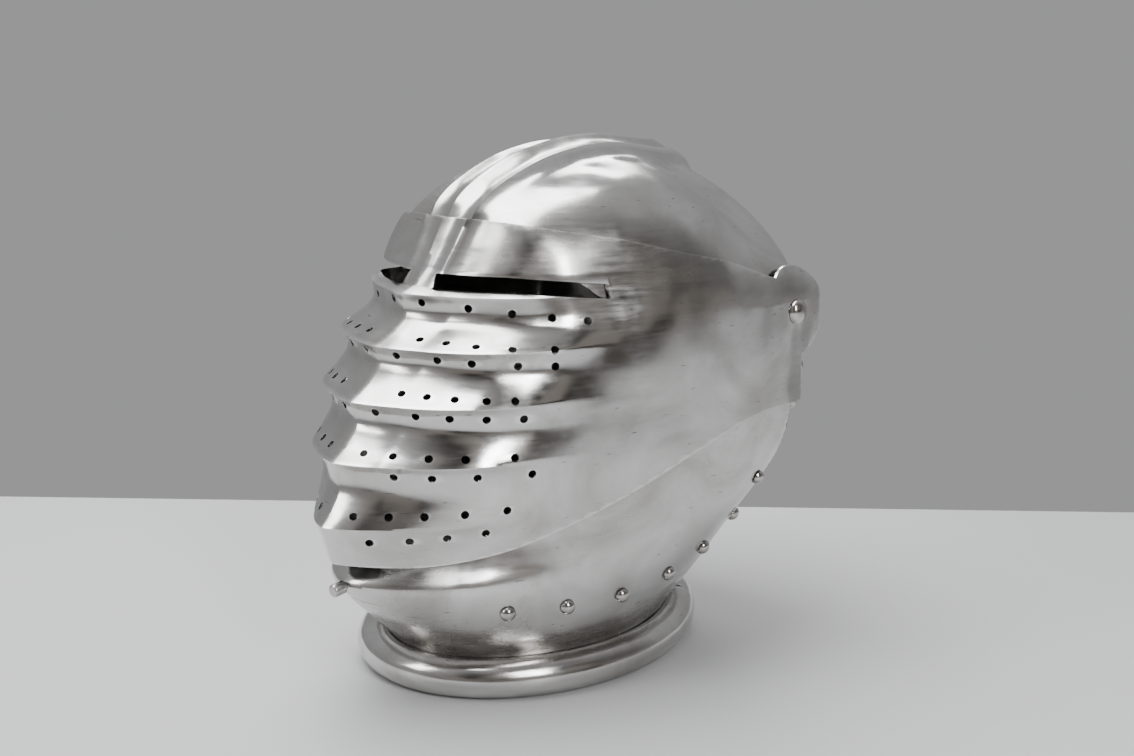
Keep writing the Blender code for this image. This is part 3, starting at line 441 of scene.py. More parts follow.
def bowl_side(y, height, offset):
    """Half width of the bowl at a place above its rim."""
    climb = max(0.0, height - RIM_HEIGHT) / max(1e-9, crest_height(y, offset))
    return rim_side(y, offset) * shrink(climb, side_power(y))


def narrowing(y, height, offset):
    """How much narrower the sides run at a place than the full form over the brow."""
    climb = max(0.0, height - RIM_HEIGHT) / (RIM_RISE + offset)
    return shrink(climb, side_power(y)) / shrink(climb, RISE_POWER)


print("top of the bowl over the ears", round(bowl_point(0.0, math.pi / 2, 0.0).z, 4))

# %% [markdown]
# ## Level sections of the face and neck
# Below the ears each plate is a stack of level sections. Turn 0 looks forward and half a turn looks back.
# The bevor lies one lap outside the skull and the visor lies outside both.

# %% Sections of skull, bevor and visor
def head_section(height, offset):
    """Station, half width and back reach of the head form at a height."""
    station, side, back = look_up(HEAD_FORM, level_at(height))
    station_y = PIVOT_Y - station * NECK_REACH
    left = shrink(max(0.0, height - RIM_HEIGHT) / (RIM_RISE + offset), RISE_POWER)
    half_width = (BOWL_HALF_WIDTH * side + offset) * left
    back_y = PIVOT_Y + BACK_REACH * back + offset
    return station_y, half_width, back_y


def section_point(height, turn, station_y, half_width, front_y, back_y, power, flat=0.0):
    """Point of a level section, turn 0 at the front and pi at the back, flat behind where a strap runs."""
    side = math.sin(turn)
    ahead = math.cos(turn)
    if ahead >= 0:
        forward = (station_y - front_y) * ahead ** (2 / power)
        return Vector((half_width * side ** (2 / power), station_y - forward, height))
    rounded = Vector((half_width * side ** (2 / BACK_POWER),
                      station_y + (back_y - station_y) * (-ahead) ** (2 / BACK_POWER), height))
    strap = Vector((half_width, station_y + (back_y - station_y) * (-ahead), height))
    return rounded.lerp(strap, flat)


def bevor_point(height, turn, offset=LAP):
    """Point of the bevor, its sides running straight back where the straps are."""
    station_y, half_width, back_y = head_section(height, offset)
    reach, power = look_up(BEVOR_FRONT, level_at(height))
    front_y = PIVOT_Y - reach * CHIN_REACH + (LAP - offset)
    strap = smooth_step(level_at(height), *STRAP_LEVELS)
    point = section_point(height, turn, station_y, half_width, front_y, back_y, power, strap)
    point.x *= narrowing(point.y, height, offset)
    return point


def nape_point(height, turn, offset=0.0):
    """Point of the nape, which flares over its collar."""
    share = level_at(height)
    flare = offset + LAP * (1 - smooth_step(share, *NAPE_FLARE))
    station_y, half_width, back_y = head_section(height, flare)
    front_y = PIVOT_Y - BROW_REACH - offset
    return section_point(height, turn, station_y, half_width, front_y, back_y, BOWL_POWER)


def visor_offset(height):
    """The visor hugs the bowl at the brow, clears the bevor at the ears and stands off it at the cheeks."""
    share = level_at(height)
    brow = smooth_step(share, *BROW_LEVELS)
    cheek = 1 - smooth_step(share, *CHEEK_LEVELS)
    return 2 * LAP - brow * (LAP - BROW_STANDOFF) + cheek * CHEEK_STANDOFF


def visor_point(height, turn, inward=0.0):
    """Point of the visor: the brow above the sights, bellows and cheeks below."""
    share = level_at(height)
    offset = visor_offset(height) - inward
    station_y, half_width, back_y = head_section(height, offset)
    if share > BROW_ROWS[-1] - 1e-6:
        front_y = crest_front(height, offset)
        point = section_point(height, turn, station_y, half_width, front_y, back_y, BOWL_POWER, 1.0)
        if turn > 1e-6:
            point.x = bowl_side(min(point.y, PIVOT_Y), height, offset)
        return with_comb(point)
    reach, _, ridge_power = ridged_look_up(VISOR_FRONT, share)
    smooth = look_up(VISOR_FRONT, share)[1]
    fade = 1 - smooth_step(turn, BELLOWS_FADE_START, BELLOWS_FADE_END)
    front = mix(smooth, reach, fade) * MUZZLE_REACH
    power = mix(look_up(CHEEK_POWER, share)[0], ridge_power, fade)
    front_y = PIVOT_Y - front + inward + KEEL_RISE
    point = section_point(height, turn, station_y, half_width, front_y, back_y, power, 1.0)
    point.y -= KEEL_RISE * max(0.0, 1 - point.x / KEEL_HALF_WIDTH)
    point.x *= narrowing(point.y, height, offset)
    return point


print("foremost ridge at", round(visor_point(level_height(RIDGES[-1]), 0.0).y, 4))

# %% [markdown]
# ## From points to sheet metal
# A plate is two grids of points, one for its outside and one for its inside, joined round the border. That
# gives a true thickness at every cut edge, which a single surface with Solidify would give too, but not
# with each skin following the table exactly.

# %% Closed sheets from two grids
def add_object(name, data):
    item = bpy.data.objects.new(name, data)
    bpy.context.scene.collection.objects.link(item)
    return item


def shade(mesh):
    """Smooth faces, with crisp edges where they meet sharply."""
    mesh.shade_smooth()
    mesh.set_sharp_from_angle(angle=EDGE_ANGLE)


def new_object(name, points, faces):
    """A shaded object from points and faces."""
    item = add_object(name, mesh_from(name, points, faces))
    shade(item.data)
    return item


def mesh_from(name, points, faces):
    """A mesh with its doubled points merged and its faces turned outwards."""
    mesh = bpy.data.meshes.new(name)
    mesh.from_pydata([tuple(p) for p in points], [], faces)
    work = bmesh.new()
    work.from_mesh(mesh)
    bmesh.ops.remove_doubles(work, verts=work.verts, dist=1e-6)
    bmesh.ops.recalc_face_normals(work, faces=work.faces)
    work.to_mesh(mesh)
    work.free()
    return mesh


def on_side(point, side):
    """A point or direction of the left side (1), or its mirror image on the right (-1)."""
    return Vector((side * point.x, point.y, point.z))


def mirrored_row(half):
    """A row of points from the right side over the middle to the left, from its left half."""
    right = [on_side(p, -1) for p in reversed(half[1:])]
    return right + [on_side(half[0], 0)] + half[1:]


def grid_faces(rows, columns, start=0, round_columns=False, round_rows=False):
    """Faces between the neighbouring rows of a grid of points, closed round either way where asked."""
    faces = []
    for r in range(rows if round_rows else rows - 1):
        near = start + r * columns
        far = start + (r + 1) % rows * columns
        for c in range(columns if round_columns else columns - 1):
            d = (c + 1) % columns
            faces.append((near + c, near + d, far + d, far + c))
    return faces


def sheet_solid(name, outer_rows, inner_rows):
    """A closed plate between two grids of points with the same rows and columns."""
    rows = len(outer_rows)
    columns = len(outer_rows[0])
    points = [p for row in outer_rows + inner_rows for p in row]
    inner_start = rows * columns
    faces = []
    for outer, inner in zip(grid_faces(rows, columns), grid_faces(rows, columns, inner_start)):
        faces += [outer, inner[::-1]]
    border = [(0, c) for c in range(columns)] + [(r, columns - 1) for r in range(1, rows)]
    border += [(rows - 1, c) for c in range(columns - 2, -1, -1)] + [(r, 0) for r in range(rows - 2, 0, -1)]
    indices = [r * columns + c for r, c in border]
    for a, b in zip(indices, indices[1:] + indices[:1]):
        faces.append((b, a, inner_start + a, inner_start + b))
    return new_object(name, points, faces)


def smooth_run(points, steps=5):
    """A smooth run through a few chosen points, as a list of points."""
    result = []
    for i in range(len(points) - 1):
        before = points[max(i - 1, 0)]
        start = points[i]
        end = points[i + 1]
        after = points[min(i + 2, len(points) - 1)]
        for k in range(steps):
            result.append([curve(k / steps, start[a], end[a], (end[a] - before[a]) / 2,
                                 (after[a] - start[a]) / 2) for a in (0, 1)])
    result.append(points[-1])
    return result


def side_outline(table):
    """An outline table as y and z values."""
    return [(PIVOT_Y - reach * MUZZLE_REACH, level_height(level)) for reach, level in table]


def side_prism(name, outline, half_width):
    """A prism across the helmet, from an outline of y and z values."""
    count = len(outline)
    points = [Vector((side * half_width, y, z)) for side in (-1, 1) for y, z in outline]
    faces = [tuple(range(count)), tuple(range(2 * count - 1, count - 1, -1))]
    return new_object(name, points, faces + grid_faces(2, count, 0, True))


# %% [markdown]
# ## Trimming and piercing
# The real plates are trimmed with shears, filed and drilled. Boolean cuts do the same job here: a prism with
# the outline seen from the side trims a plate, and round bars drill it. Each cut is applied at once and its
# cutter removed, so no live modifier and no tool is left behind.

# %% Cutting tools
FILED_ANGLE = math.radians(55)   # edges sharper than this were filed bright


def turned_to(place, direction):
    """The move that turns +Z to a direction and carries it to a place."""
    return Matrix.Translation(place) @ direction.to_track_quat("Z", "Y").to_matrix().to_4x4()


def object_from(name, work):
    """An object from finished bmesh work."""
    mesh = bpy.data.meshes.new(name)
    work.to_mesh(mesh)
    work.free()
    return add_object(name, mesh)


def round_cutter(name, radius, length, sides, place, direction):
    """A round bar centred on a place, its axis along a direction."""
    work = bmesh.new()
    bmesh.ops.create_cone(work, cap_ends=True, segments=sides, radius1=radius, radius2=radius, depth=length)
    bar = object_from(name, work)
    bar.data.transform(turned_to(place, direction))
    return bar


def joined(name, items):
    """One cutter from several that don't meet."""
    work = bmesh.new()
    for item in items:
        work.from_mesh(item.data)
        bpy.data.objects.remove(item, do_unlink=True)
    return object_from(name, work)


def evaluated_mesh(item):
    """What an object's modifiers make of it, as plain mesh."""
    bpy.context.view_layer.update()
    return bpy.data.meshes.new_from_object(item.evaluated_get(bpy.context.evaluated_depsgraph_get()))


def apply_boolean(item, cutter, operation):
    """Cuts a plate and removes the cutter."""
    change = item.modifiers.new(operation.title(), "BOOLEAN")
    change.object = cutter
    change.operation = operation
    change.solver = "EXACT"
    mesh = evaluated_mesh(item)
    old = item.data
    item.modifiers.clear()
    item.data = mesh
    bpy.data.meshes.remove(old)
    bpy.data.objects.remove(cutter, do_unlink=True)


def cast(item, start, direction):
    """Where a line first meets the outside of a plate, and the outward direction there."""
    tree = BVHTree.FromObject(item, bpy.context.evaluated_depsgraph_get())
    place, normal, _, _ = tree.ray_cast(start, direction)
    return place, normal


def trim(item, outline, operation):
    """Keeps what lies inside an outline seen from the side, or cuts it away."""
    apply_boolean(item, side_prism(item.name + "_outline", outline, CUTTER_WIDTH), operation)
    print(item.name, "trimmed,", len(item.data.vertices), "points")


def arc(centre, radius, start, end, steps):
    return [(centre[0] + radius * math.cos(mix(start, end, i / steps)),
             centre[1] + radius * math.sin(mix(start, end, i / steps))) for i in range(steps + 1)]


def pivot_place(x=0.0):
    return Vector((x, PIVOT_Y, PIVOT_HEIGHT))


def pivot_holes():
    """One long bar that drills both ears."""
    radius = PIVOT_SHANK_RADIUS + SHANK_CLEARANCE
    width = 2 * (HELMET_HALF_WIDTH + CUTTER_MARGIN)
    return round_cutter("pivot_cutter", radius, width, 20, pivot_place(), Vector((1, 0, 0)))


def finish_plate(item):
    """Shades a trimmed plate, marks its filed edges for the steel's wear and lowers it onto the table."""
    mesh = item.data
    mesh.transform(Matrix.Translation((0, 0, -STAND_DROP)))
    shade(mesh)
    work = bmesh.new()
    work.from_mesh(mesh)
    worn = [0.0] * len(work.verts)
    for edge in work.edges:
        if len(edge.link_faces) == 2 and edge.calc_face_angle(0.0) > FILED_ANGLE:
            for vert in edge.verts:
                worn[vert.index] = 1.0
    work.free()
    wear = mesh.attributes.new("filed_edge", "FLOAT", "POINT")
    wear.data.foreach_set("value", worn)
    print(item.name, len(mesh.vertices), "points,", sum(1 for w in worn if w), "on filed edges")

# %% [markdown]
# ## Skull
# The bowl runs from brow to nape and down behind the neck, with the face cut out. The visor covers its face
# edge, which is seen through the sights and when the visor is up.

# %% Skull plate
BOWL_STEPS = 84           # from front to back
COMB_STEPS = 9            # across one half of the comb
COVE_STEPS = 4
FLANK_STEPS = 26          # from the comb to the ear
LAST_SHARE = 0.996        # last row of points before the rim, as a share of the half width
NAPE_STEP = 0.03          # levels between two rows of points


def skull_rows(offset):
    """Points of the bowl from front to back, and of the belt below it down to the collar."""
    bowl = []
    for step in range(BOWL_STEPS + 1):
        swing = math.pi * step / BOWL_STEPS
        crest = bowl_point(0.0, swing, offset) - pivot_place()
        leaf = comb_half_width(math.atan2(crest.z, -crest.y))
        spread = [leaf * k / COMB_STEPS for k in range(COMB_STEPS + 1)]
        spread += [leaf + COMB_COVE * k / COVE_STEPS for k in range(1, COVE_STEPS + 1)]
        shares = [x / (BOWL_HALF_WIDTH + offset) for x in spread]
        flank = [math.sin(math.pi / 2 * k / FLANK_STEPS) for k in range(1, FLANK_STEPS)]
        shares += [mix(shares[-1], LAST_SHARE, share) for share in flank] + [LAST_SHARE, 1.0]
        bowl.append(mirrored_row([with_comb(bowl_point(min(1.0, s), swing, offset)) for s in shares]))
    loop = bowl[0] + list(reversed(bowl[-1]))[1:-1]
    belt = [loop]
    for level in finer((1.0, *NAPE_ROWS), NAPE_STEP)[1:]:
        row = []
        for place in loop:
            across = min(1.0, abs(place.x) / (BOWL_HALF_WIDTH + offset))
            if place.y > PIVOT_Y:
                turn = math.pi - math.asin(across ** (BACK_POWER / 2))
            else:
                turn = math.asin(across ** (BOWL_POWER / 2))
            spot = nape_point(level_height(level), turn, offset)
            spot.x = math.copysign(spot.x, place.x) if across > 1e-6 else 0.0
            row.append(spot)
        belt.append(row)
    return bowl, belt


def build_skull():
    """Bowl and nape in one sheet, open over the face and down to the collar."""
    points = []
    faces = []
    feet = []
    for offset in (0.0, -SHEET):
        for rows, closed in zip(skull_rows(offset), (False, True)):
            start = len(points)
            columns = len(rows[0])
            for row in rows:
                points.extend(row)
            faces += grid_faces(len(rows), columns, start, closed)
        feet.append(len(points) - columns)
    outer, inner = feet
    for c in range(columns):
        d = (c + 1) % columns
        faces.append((outer + c, outer + d, inner + d, inner + c))
    item = new_object("skull_plate", points, faces)
    opening = side_outline(((1.3, FACE_OPENING[0][1]), *smooth_run(FACE_OPENING, 6)))
    lapped = [(y - NAPE_LAP, z) for y, z in side_outline(smooth_run(BEVOR_BACK[1:5], 4))]
    foot = [(side_outline(BEVOR_BACK[-1:])[0][0] + FIT_GAP, z) for z in (level_height(0.205), -CUTTER_MARGIN)]
    outline = opening + lapped + foot + [(CUTTER_FRONT, -CUTTER_MARGIN)]
    trim(item, outline, "DIFFERENCE")
    apply_boolean(item, pivot_holes(), "DIFFERENCE")
    return item


skull = build_skull()

# %% [markdown]
# ## Bevor
# The bevor wraps chin, cheeks and neck and runs up in two straps to the ear rivets. Its keel comes to a blunt
# point at the chin.

# %% Bevor plate
BEVOR_STEP = 0.012        # levels between two rows of points
FRONT_TURNS = [0.8 * k for k in range(18)]            # closest at the keel
SIDE_TURNS = [14.4 + 2.4 * k for k in range(53)]
EYE_START = math.radians(150)    # the strap's round end, from its front edge over the rivet to its back
EYE_END = math.radians(-60)


def stacked_plate(name, levels, point_at, last_turn, outer_value, inner_value):
    """A plate from level sections, its two skins told apart by the value that point_at is given."""
    turns = [math.radians(t) for t in FRONT_TURNS + SIDE_TURNS if t <= last_turn]
    skins = []
    for value in (outer_value, inner_value):
        rows = [[point_at(level_height(level), turn, value) for turn in turns] for level in levels]
        skins.append([mirrored_row(row) for row in rows])
    return sheet_solid(name, *skins)


def build_bevor():
    """Chin and cheek plate with its straps up to the ear rivets."""
    levels = finer(BEVOR_ROWS, BEVOR_STEP)
    item = stacked_plate("bevor_plate", levels, bevor_point, SIDE_TURNS[-1], LAP, LAP - SHEET)
    top = side_outline(smooth_run(BEVOR_TOP, 6))
    eye = arc((PIVOT_Y, PIVOT_HEIGHT), BEVOR_EYE_RADIUS, EYE_START, EYE_END, 24)
    back = side_outline(smooth_run(BEVOR_BACK, 6))
    foot = [(back[-1][0], -CUTTER_MARGIN), (CUTTER_FRONT, -CUTTER_MARGIN)]
    trim(item, [(CUTTER_FRONT, top[0][1])] + top + eye + back + foot, "INTERSECT")
    apply_boolean(item, pivot_holes(), "DIFFERENCE")
    return item


bevor = build_bevor()

# %% [markdown]
# ## Visor
# The visor is the showpiece. Below the ledge under the sights four ridges stand out over the face like the
# folds of a bellows, which stiffens thin sheet. They are strongest at the middle and fade into the smooth
# cheeks. The ridges need the closest rows of points, so their levels are set 1.6 mm apart.

# %% Visor plate
VISOR_STEP = 0.008        # levels between two rows of points
VISOR_END = 115           # last turn, behind the ear rivets
DISC_START = math.radians(127)   # the ear disc, from the visor's upper edge round to the cheek tab
DISC_END = math.asin(-0.972)


def build_visor():
    """Brow, bellows, cheeks and ear discs in one sheet, not yet pierced."""
    levels = finer(BROW_ROWS, VISOR_STEP) + finer([row[0] for row in VISOR_FRONT], VISOR_STEP)
    item = stacked_plate("visor_plate", levels, visor_point, VISOR_END, 0.0, SHEET)
    top = side_outline(smooth_run(VISOR_TOP, 6))
    disc = arc((PIVOT_Y, PIVOT_HEIGHT), EAR_DISC_RADIUS, DISC_START, DISC_END, 48)
    tab_foot = level_height(TAB_FOOT)
    tab = [(PIVOT_Y + TAB_BACK, tab_foot), (PIVOT_Y - TAB_FRONT, tab_foot)]
    foot = side_outline(list(reversed(smooth_run(VISOR_FOOT, 6))))
    outline = [(CUTTER_FRONT, top[0][1])] + top + disc + tab + foot[1:] + [(CUTTER_FRONT, foot[-1][1])]
    trim(item, outline, "INTERSECT")
    return item


visor = build_visor()

# %% [markdown]
# ## Sights and breath holes
# Two slots give sight and rows of small drilled holes let the wearer breathe. The holes follow the ridges,
# one row above and one below each. Each drill stands square to the plate, found by casting a ray from the
# front onto it.

# %% Cutting the sights and drilling the visor
BREATH_SIDES = 14


def sight_cutter(side):
    """A slot from the bridge round to the temple, its inner end slanted and its rear end a little lower."""
    outer_x = HELMET_HALF_WIDTH + CUTTER_MARGIN
    points = []
    for y, drop in ((CUTTER_FRONT, 0.0), (PIVOT_Y - SIGHT_BEND, 0.0), (PIVOT_Y - SIGHT_END, SIGHT_DROP)):
        floor = level_height(SIGHT_LEVEL) - drop
        top = floor + SIGHT_OPENING
        corners = ((SIGHT_INNER + SIGHT_SLANT, floor), (outer_x, floor), (outer_x, top), (SIGHT_INNER, top))
        for x, z in corners:
            points.append(Vector((side * x, y, z)))
    faces = [(0, 1, 2, 3), (11, 10, 9, 8)] + grid_faces(3, 4, 0, True)
    return new_object("sight_cutter", points, faces)


def breath_cutters(visor):
    """A short bar square to the plate for each breath hole, the same on both sides."""
    cutters = []
    for middle, end, places in BREATH_ROWS:
        for across in places:
            height = level_height(mix(middle, end, (across / places[-1]) ** 2))
            start = Vector((across * BOWL_HALF_WIDTH, CUTTER_FRONT, height))
            place, outward = cast(visor, start, Vector((0, 1, 0)))
            for side in (-1, 1):
                bar = round_cutter("breath_cutter", BREATH_RADIUS, 3.2 * SHEET, BREATH_SIDES,
                                   on_side(place, side), on_side(outward, side))
                cutters.append(bar)
    return cutters


def pierce_visor(item):
    """Cuts the sights, the breath holes and the holes for the ear rivets."""
    cutters = [sight_cutter(side) for side in (-1, 1)] + breath_cutters(item)
    print("cuts in the visor:", len(cutters))
    cutters.append(pivot_holes())
    apply_boolean(item, joined("visor_cutters", cutters), "DIFFERENCE")


pierce_visor(visor)

# %% [markdown]
# ## Collar
# The foot of the neck ends in a hollow roll, formed over a rod and closed under the plate's edge. It is swept
# along the plate's own foot, so it always fits. The front part moves with the bevor and the short rear part
# stays with the skull.

# %% Rolled collar
# Round the roll in degrees, 0 outwards, with a flat between -112.5 and -67.5 to stand on
ROLL_ANGLES = (-130, -121, -112.5, -67.5, -60, -50, -38, -25, -12, 0, 12, 25, 38, 52, 66, 80, 94, 108, 120)


def rolled_ring(name, loop, closed):
    """A hollow roll standing on a flat, seated round the foot of a plate."""
    count = len(loop)
    centre_height = STAND_DROP + COLLAR_RADIUS * math.sin(math.radians(67.5))     # stands on the flat
    angles = [math.radians(a) for a in ROLL_ANGLES]
    profile = [(COLLAR_RADIUS, a) for a in angles]
    profile += [(COLLAR_RADIUS - COLLAR_SHEET, a) for a in reversed(angles)]
    points = []
    for i, place in enumerate(loop):
        after = loop[(i + 1) % count] if closed else loop[min(i + 1, count - 1)]
        before = loop[i - 1] if closed else loop[max(i - 1, 0)]
        along = (after - before).normalized()
        outward = Vector((along.y, -along.x, 0))
        if outward.dot(Vector((place.x, place.y - (PIVOT_Y - NECK_REACH / 2), 0))) < 0:
            outward = -outward
        for radius, angle in profile:
            points.append(Vector((place.x, place.y, 0)) + outward * (COLLAR_SEAT + radius * math.cos(angle))
                          + Vector((0, 0, centre_height + radius * math.sin(angle))))
    size = len(profile)
    faces = grid_faces(count, size, 0, True, closed)
    if not closed:
        faces.append(tuple(range(size)))
        faces.append(tuple((count - 1) * size + k for k in reversed(range(size))))
    return new_object(name, points, faces)


def build_collar():
    """The roll round the neck: a front part on the bevor and a short rear part on the nape."""
    turns = [math.radians(turn) for turn in FRONT_TURNS[::3] + SIDE_TURNS]
    front_loop = mirrored_row([bevor_point(level_height(BEVOR_ROWS[-1]), turn) for turn in turns])
    rear_loop = skull_rows(0.0)[1][-1]
    split = side_outline(BEVOR_BACK[-1:])[0][0]
    rings = []
    for name, loop, closed, low, high in (
            ("collar_front_roll", front_loop, False, CUTTER_FRONT, split),
            ("collar_rear_roll", rear_loop, True, split + FIT_GAP, PIVOT_Y + MUZZLE_REACH)):
        ring = rolled_ring(name, loop, closed)
        trim(ring, [(low, -0.1), (high, -0.1), (high, 0.1), (low, 0.1)], "INTERSECT")
        rings.append(ring)
    return rings


collar_front, collar_rear = build_collar()

# %% [markdown]
# ## Rivets
# A row of domed rivets goes round the neck. All are alike, so one is turned like work on a lathe and Geometry
# Nodes sets a copy on every seat. The seats are a mesh of single points that carry the direction away from
# the plate. A little spread in size and turn, with a fixed seed, keeps them from looking stamped.

# %% Rivet seats on the plates
def turned_solid(name, profile, sides, place, direction):
    """A solid turned round a direction, from (radius, distance outwards) pairs with both ends on the axis."""
    points = [Vector((0, 0, profile[0][1]))]
    for radius, out in profile[1:-1]:
        for k in range(sides):
            angle = 2 * math.pi * k / sides
            points.append(Vector((radius * math.cos(angle), radius * math.sin(angle), out)))
    points.append(Vector((0, 0, profile[-1][1])))
    rings = len(profile) - 2
    faces = [(0, 1 + k, 1 + (k + 1) % sides) for k in range(sides)]
    faces += grid_faces(rings, sides, 1, True)
    last = 1 + (rings - 1) * sides
    faces += [(len(points) - 1, last + (k + 1) % sides, last + k) for k in range(sides)]
    item = new_object(name, points, faces)
    item.data.transform(turned_to(place, direction))
    return item


def dome_profile(radius, height, shank, length, rings):
    """A domed head with its shank, the head's underside at distance 0."""
    profile = [(0.0, height)]
    for k in range(1, rings + 1):
        angle = math.pi / 2 * k / rings
        profile.append((radius * math.sin(angle), height * math.cos(angle)))
    profile += [(shank, 0.0), (shank, -length), (0.0, -length)]
    return profile


def rivet_seats(plate, table, point_at):
    """Places on a plate for the rivets of both sides, with the direction outwards."""
    seats = []
    for turn_degrees, share in table:
        height = level_height(share)
        turn = math.radians(turn_degrees)
        place = point_at(height, turn)
        ahead = point_at(height, turn + 0.02) - point_at(height, turn - 0.02)
        outward = Vector((ahead.y, -ahead.x, 0)).normalized()
        if outward.x < 0:
            outward = -outward
        spot, away = cast(plate, place + outward * 0.02, -outward)
        seats += [(on_side(spot, side), on_side(away, side)) for side in (1, -1)]
    return seats


def seat_points(name, seats):
    """A mesh of single points with the direction that each rivet faces."""
    mesh = bpy.data.meshes.new(name)
    mesh.from_pydata([tuple(spot + away * FIT_GAP) for spot, away in seats], [], [])
    facing = mesh.attributes.new("facing", "FLOAT_VECTOR", "POINT")
    facing.data.foreach_set("vector", [value for _, away in seats for value in away])
    return add_object(name, mesh)


bevor_seats = rivet_seats(bevor, BEVOR_RIVETS, bevor_point)
nape_seats = rivet_seats(skull, NAPE_RIVETS, nape_point)
print("rivet seats:", len(bevor_seats), "on the bevor,", len(nape_seats), "on the nape")

# %% [markdown]
# ## Holes for the shanks
# The plates get the holes for the rivets' shanks before they are lowered onto the table.

# %% Shank holes, then the plates are finished
def drill_for_rivets(item, seats):
    radius = RIVET_SHANK_RADIUS + SHANK_CLEARANCE
    cutters = [round_cutter("shank_cutter", radius, 6 * SHEET, 10, *seat) for seat in seats]
    apply_boolean(item, joined("shank_cutters", cutters), "DIFFERENCE")
    print(item.name, "drilled for", len(seats), "rivets")


drill_for_rivets(bevor, bevor_seats)
drill_for_rivets(skull, nape_seats)

# %% [markdown]
# ## Peg at the chin
# A plain steel peg stands forward from the chin. The visor's lower edge comes to rest on it, and a thumb
# finds it to push the visor up.

# %% Peg
def build_peg(plate):
    """A short turned peg with a filed rim, and the hole in the plate for its shank."""
    start = Vector((0, CUTTER_FRONT, level_height(PEG_LEVEL)))
    spot, _ = cast(plate, start, Vector((0, 1, 0)))
    direction = Vector((0, -1, -PEG_DIP)).normalized()
    hole = round_cutter("peg_cutter", PEG_SHANK_RADIUS + SHANK_CLEARANCE, 12 * SHEET, 16, spot, direction)
    apply_boolean(plate, hole, "DIFFERENCE")
    profile = [(0.0, PEG_LENGTH),
               (PEG_RADIUS * 0.55, PEG_LENGTH),
               (PEG_RADIUS - 2 * FIT_GAP, PEG_LENGTH - FIT_GAP / 3),
               (PEG_RADIUS - FIT_GAP, PEG_LENGTH - FIT_GAP),
               (PEG_RADIUS, PEG_LENGTH - 3 * FIT_GAP),
               (PEG_RADIUS, FIT_GAP),
               (PEG_SHANK_RADIUS, FIT_GAP),
               (PEG_SHANK_RADIUS, -2 * SHEET),
               (0.0, -2 * SHEET)]
    return turned_solid("peg", profile, 28, spot + direction * 3 * FIT_GAP, direction)


chin_peg = build_peg(bevor)
for plate in (skull, bevor, visor, collar_front, collar_rear, chin_peg):
    finish_plate(plate)

# %% [markdown]
# ## Polished steel
# The plates are bright steel, polished by hand: soft reflections with a fine grain, cloudy smudges, a few
# hairline scratches, and shallow dents left by the hammer. A flat metal shader would look like chrome.
# The colour and roughness are broken up with noise in object coordinates, so the pattern sits on the steel in
# every view, and fine bumps stand in for what is too small to model.

# %% The steel's nodes
# Sockets of the mix node when it mixes colours, and of the attribute node
MIX_LOW = 6
MIX_HIGH = 7
MIX_COLOUR = 2
ATTRIBUTE_VALUE = 2

# Noises of the steel: scale per metre, detail, roughness, distortion, stretch along the three axes
CLOUDS = (17.0, 7.0, 0.62, 0.7, (1.0, 1.0, 1.4))
SMUDGES = (75.0, 5.0, 0.5, 0.0, (1.0, 1.0, 1.0))
GRAIN = (60.0, 3.0, 0.5, 0.0, (1.0, 1.0, 9.0))
HAIRS = (9.0, 1.0, 0.5, 0.0, (1.0, 14.0, 95.0))
HAMMER = (24.0, 1.0, 0.35, 0.0, (1.0, 1.0, 0.6))
HAIR_TURN = (0.5, 0.35, 0.9)

# What a noise does: where it sets in, where it is full, then its value at either place
CLOUD_TINT = (0.32, 0.70, 0.0, 1.0)
CLOUD_GLOSS = (0.30, 0.72)
SMUDGE_GLOSS = (0.45, 0.75, 0.0, 0.05)
GRAIN_GLOSS = (0.3, 0.7, -0.03, 0.03)
HAIR_TINT = (0.745, 0.785, 0.0, 0.8)
HAIR_DARK = 0.45          # colour of a hairline against the dull steel
HAIR_GLOSS = 0.08
FILED_BRIGHT = 1.18       # colour of a filed edge against the bright steel
BRIGHTEST = 0.92
ROUGHEST = 0.55
DENT_DEPTH = 0.0055       # bump distances, in metres
GRAIN_DEPTH = 0.00005
GRAIN_STRENGTH = 0.05


def link(tree, source, output, target, field):
    tree.links.new(source.outputs[output], target.inputs[field])


def add_node(tree, kind, values=None):
    """A node with constants on its inputs."""
    node = tree.nodes.new(kind)
    for field, value in (values or {}).items():
        node.inputs[field].default_value = value
    return node


def noise_node(tree, noise, turn=(0.0, 0.0, 0.0)):
    """A noise in object coordinates, turned and stretched."""
    place = add_node(tree, "ShaderNodeTexCoord")
    mapping = add_node(tree, "ShaderNodeMapping", {"Scale": noise[-1], "Rotation": turn})
    values = dict(zip(("Scale", "Detail", "Roughness", "Distortion"), noise))
    texture = add_node(tree, "ShaderNodeTexNoise", values)
    link(tree, place, "Object", mapping, "Vector")
    link(tree, mapping, "Vector", texture, "Vector")
    return texture


def spread(tree, source, low, high, to_low=0.0, to_high=1.0, output=0):
    """Maps a value from one range to another, clamped."""
    values = {"From Min": low, "From Max": high, "To Min": to_low, "To Max": to_high}
    node = add_node(tree, "ShaderNodeMapRange", values)
    link(tree, source, output, node, "Value")
    return node


def tint(tree, factor, low, high, output=0):
    """A colour between two others, each a colour or another such node."""
    node = add_node(tree, "ShaderNodeMix")
    node.data_type = "RGBA"
    for field, colour in ((MIX_LOW, low), (MIX_HIGH, high)):
        if isinstance(colour, bpy.types.Node):
            link(tree, colour, MIX_COLOUR, node, field)
        else:
            node.inputs[field].default_value = (*colour, 1)
    link(tree, factor, output, node, 0)
    return node


def calculate(tree, operation, first, second):
    """One sum or product; each side is a node with its first output, or a number."""
    node = add_node(tree, "ShaderNodeMath")
    node.operation = operation
    for field, value in enumerate((first, second)):
        if isinstance(value, bpy.types.Node):
            link(tree, value, 0, node, field)
        else:
            node.inputs[field].default_value = value
    return node


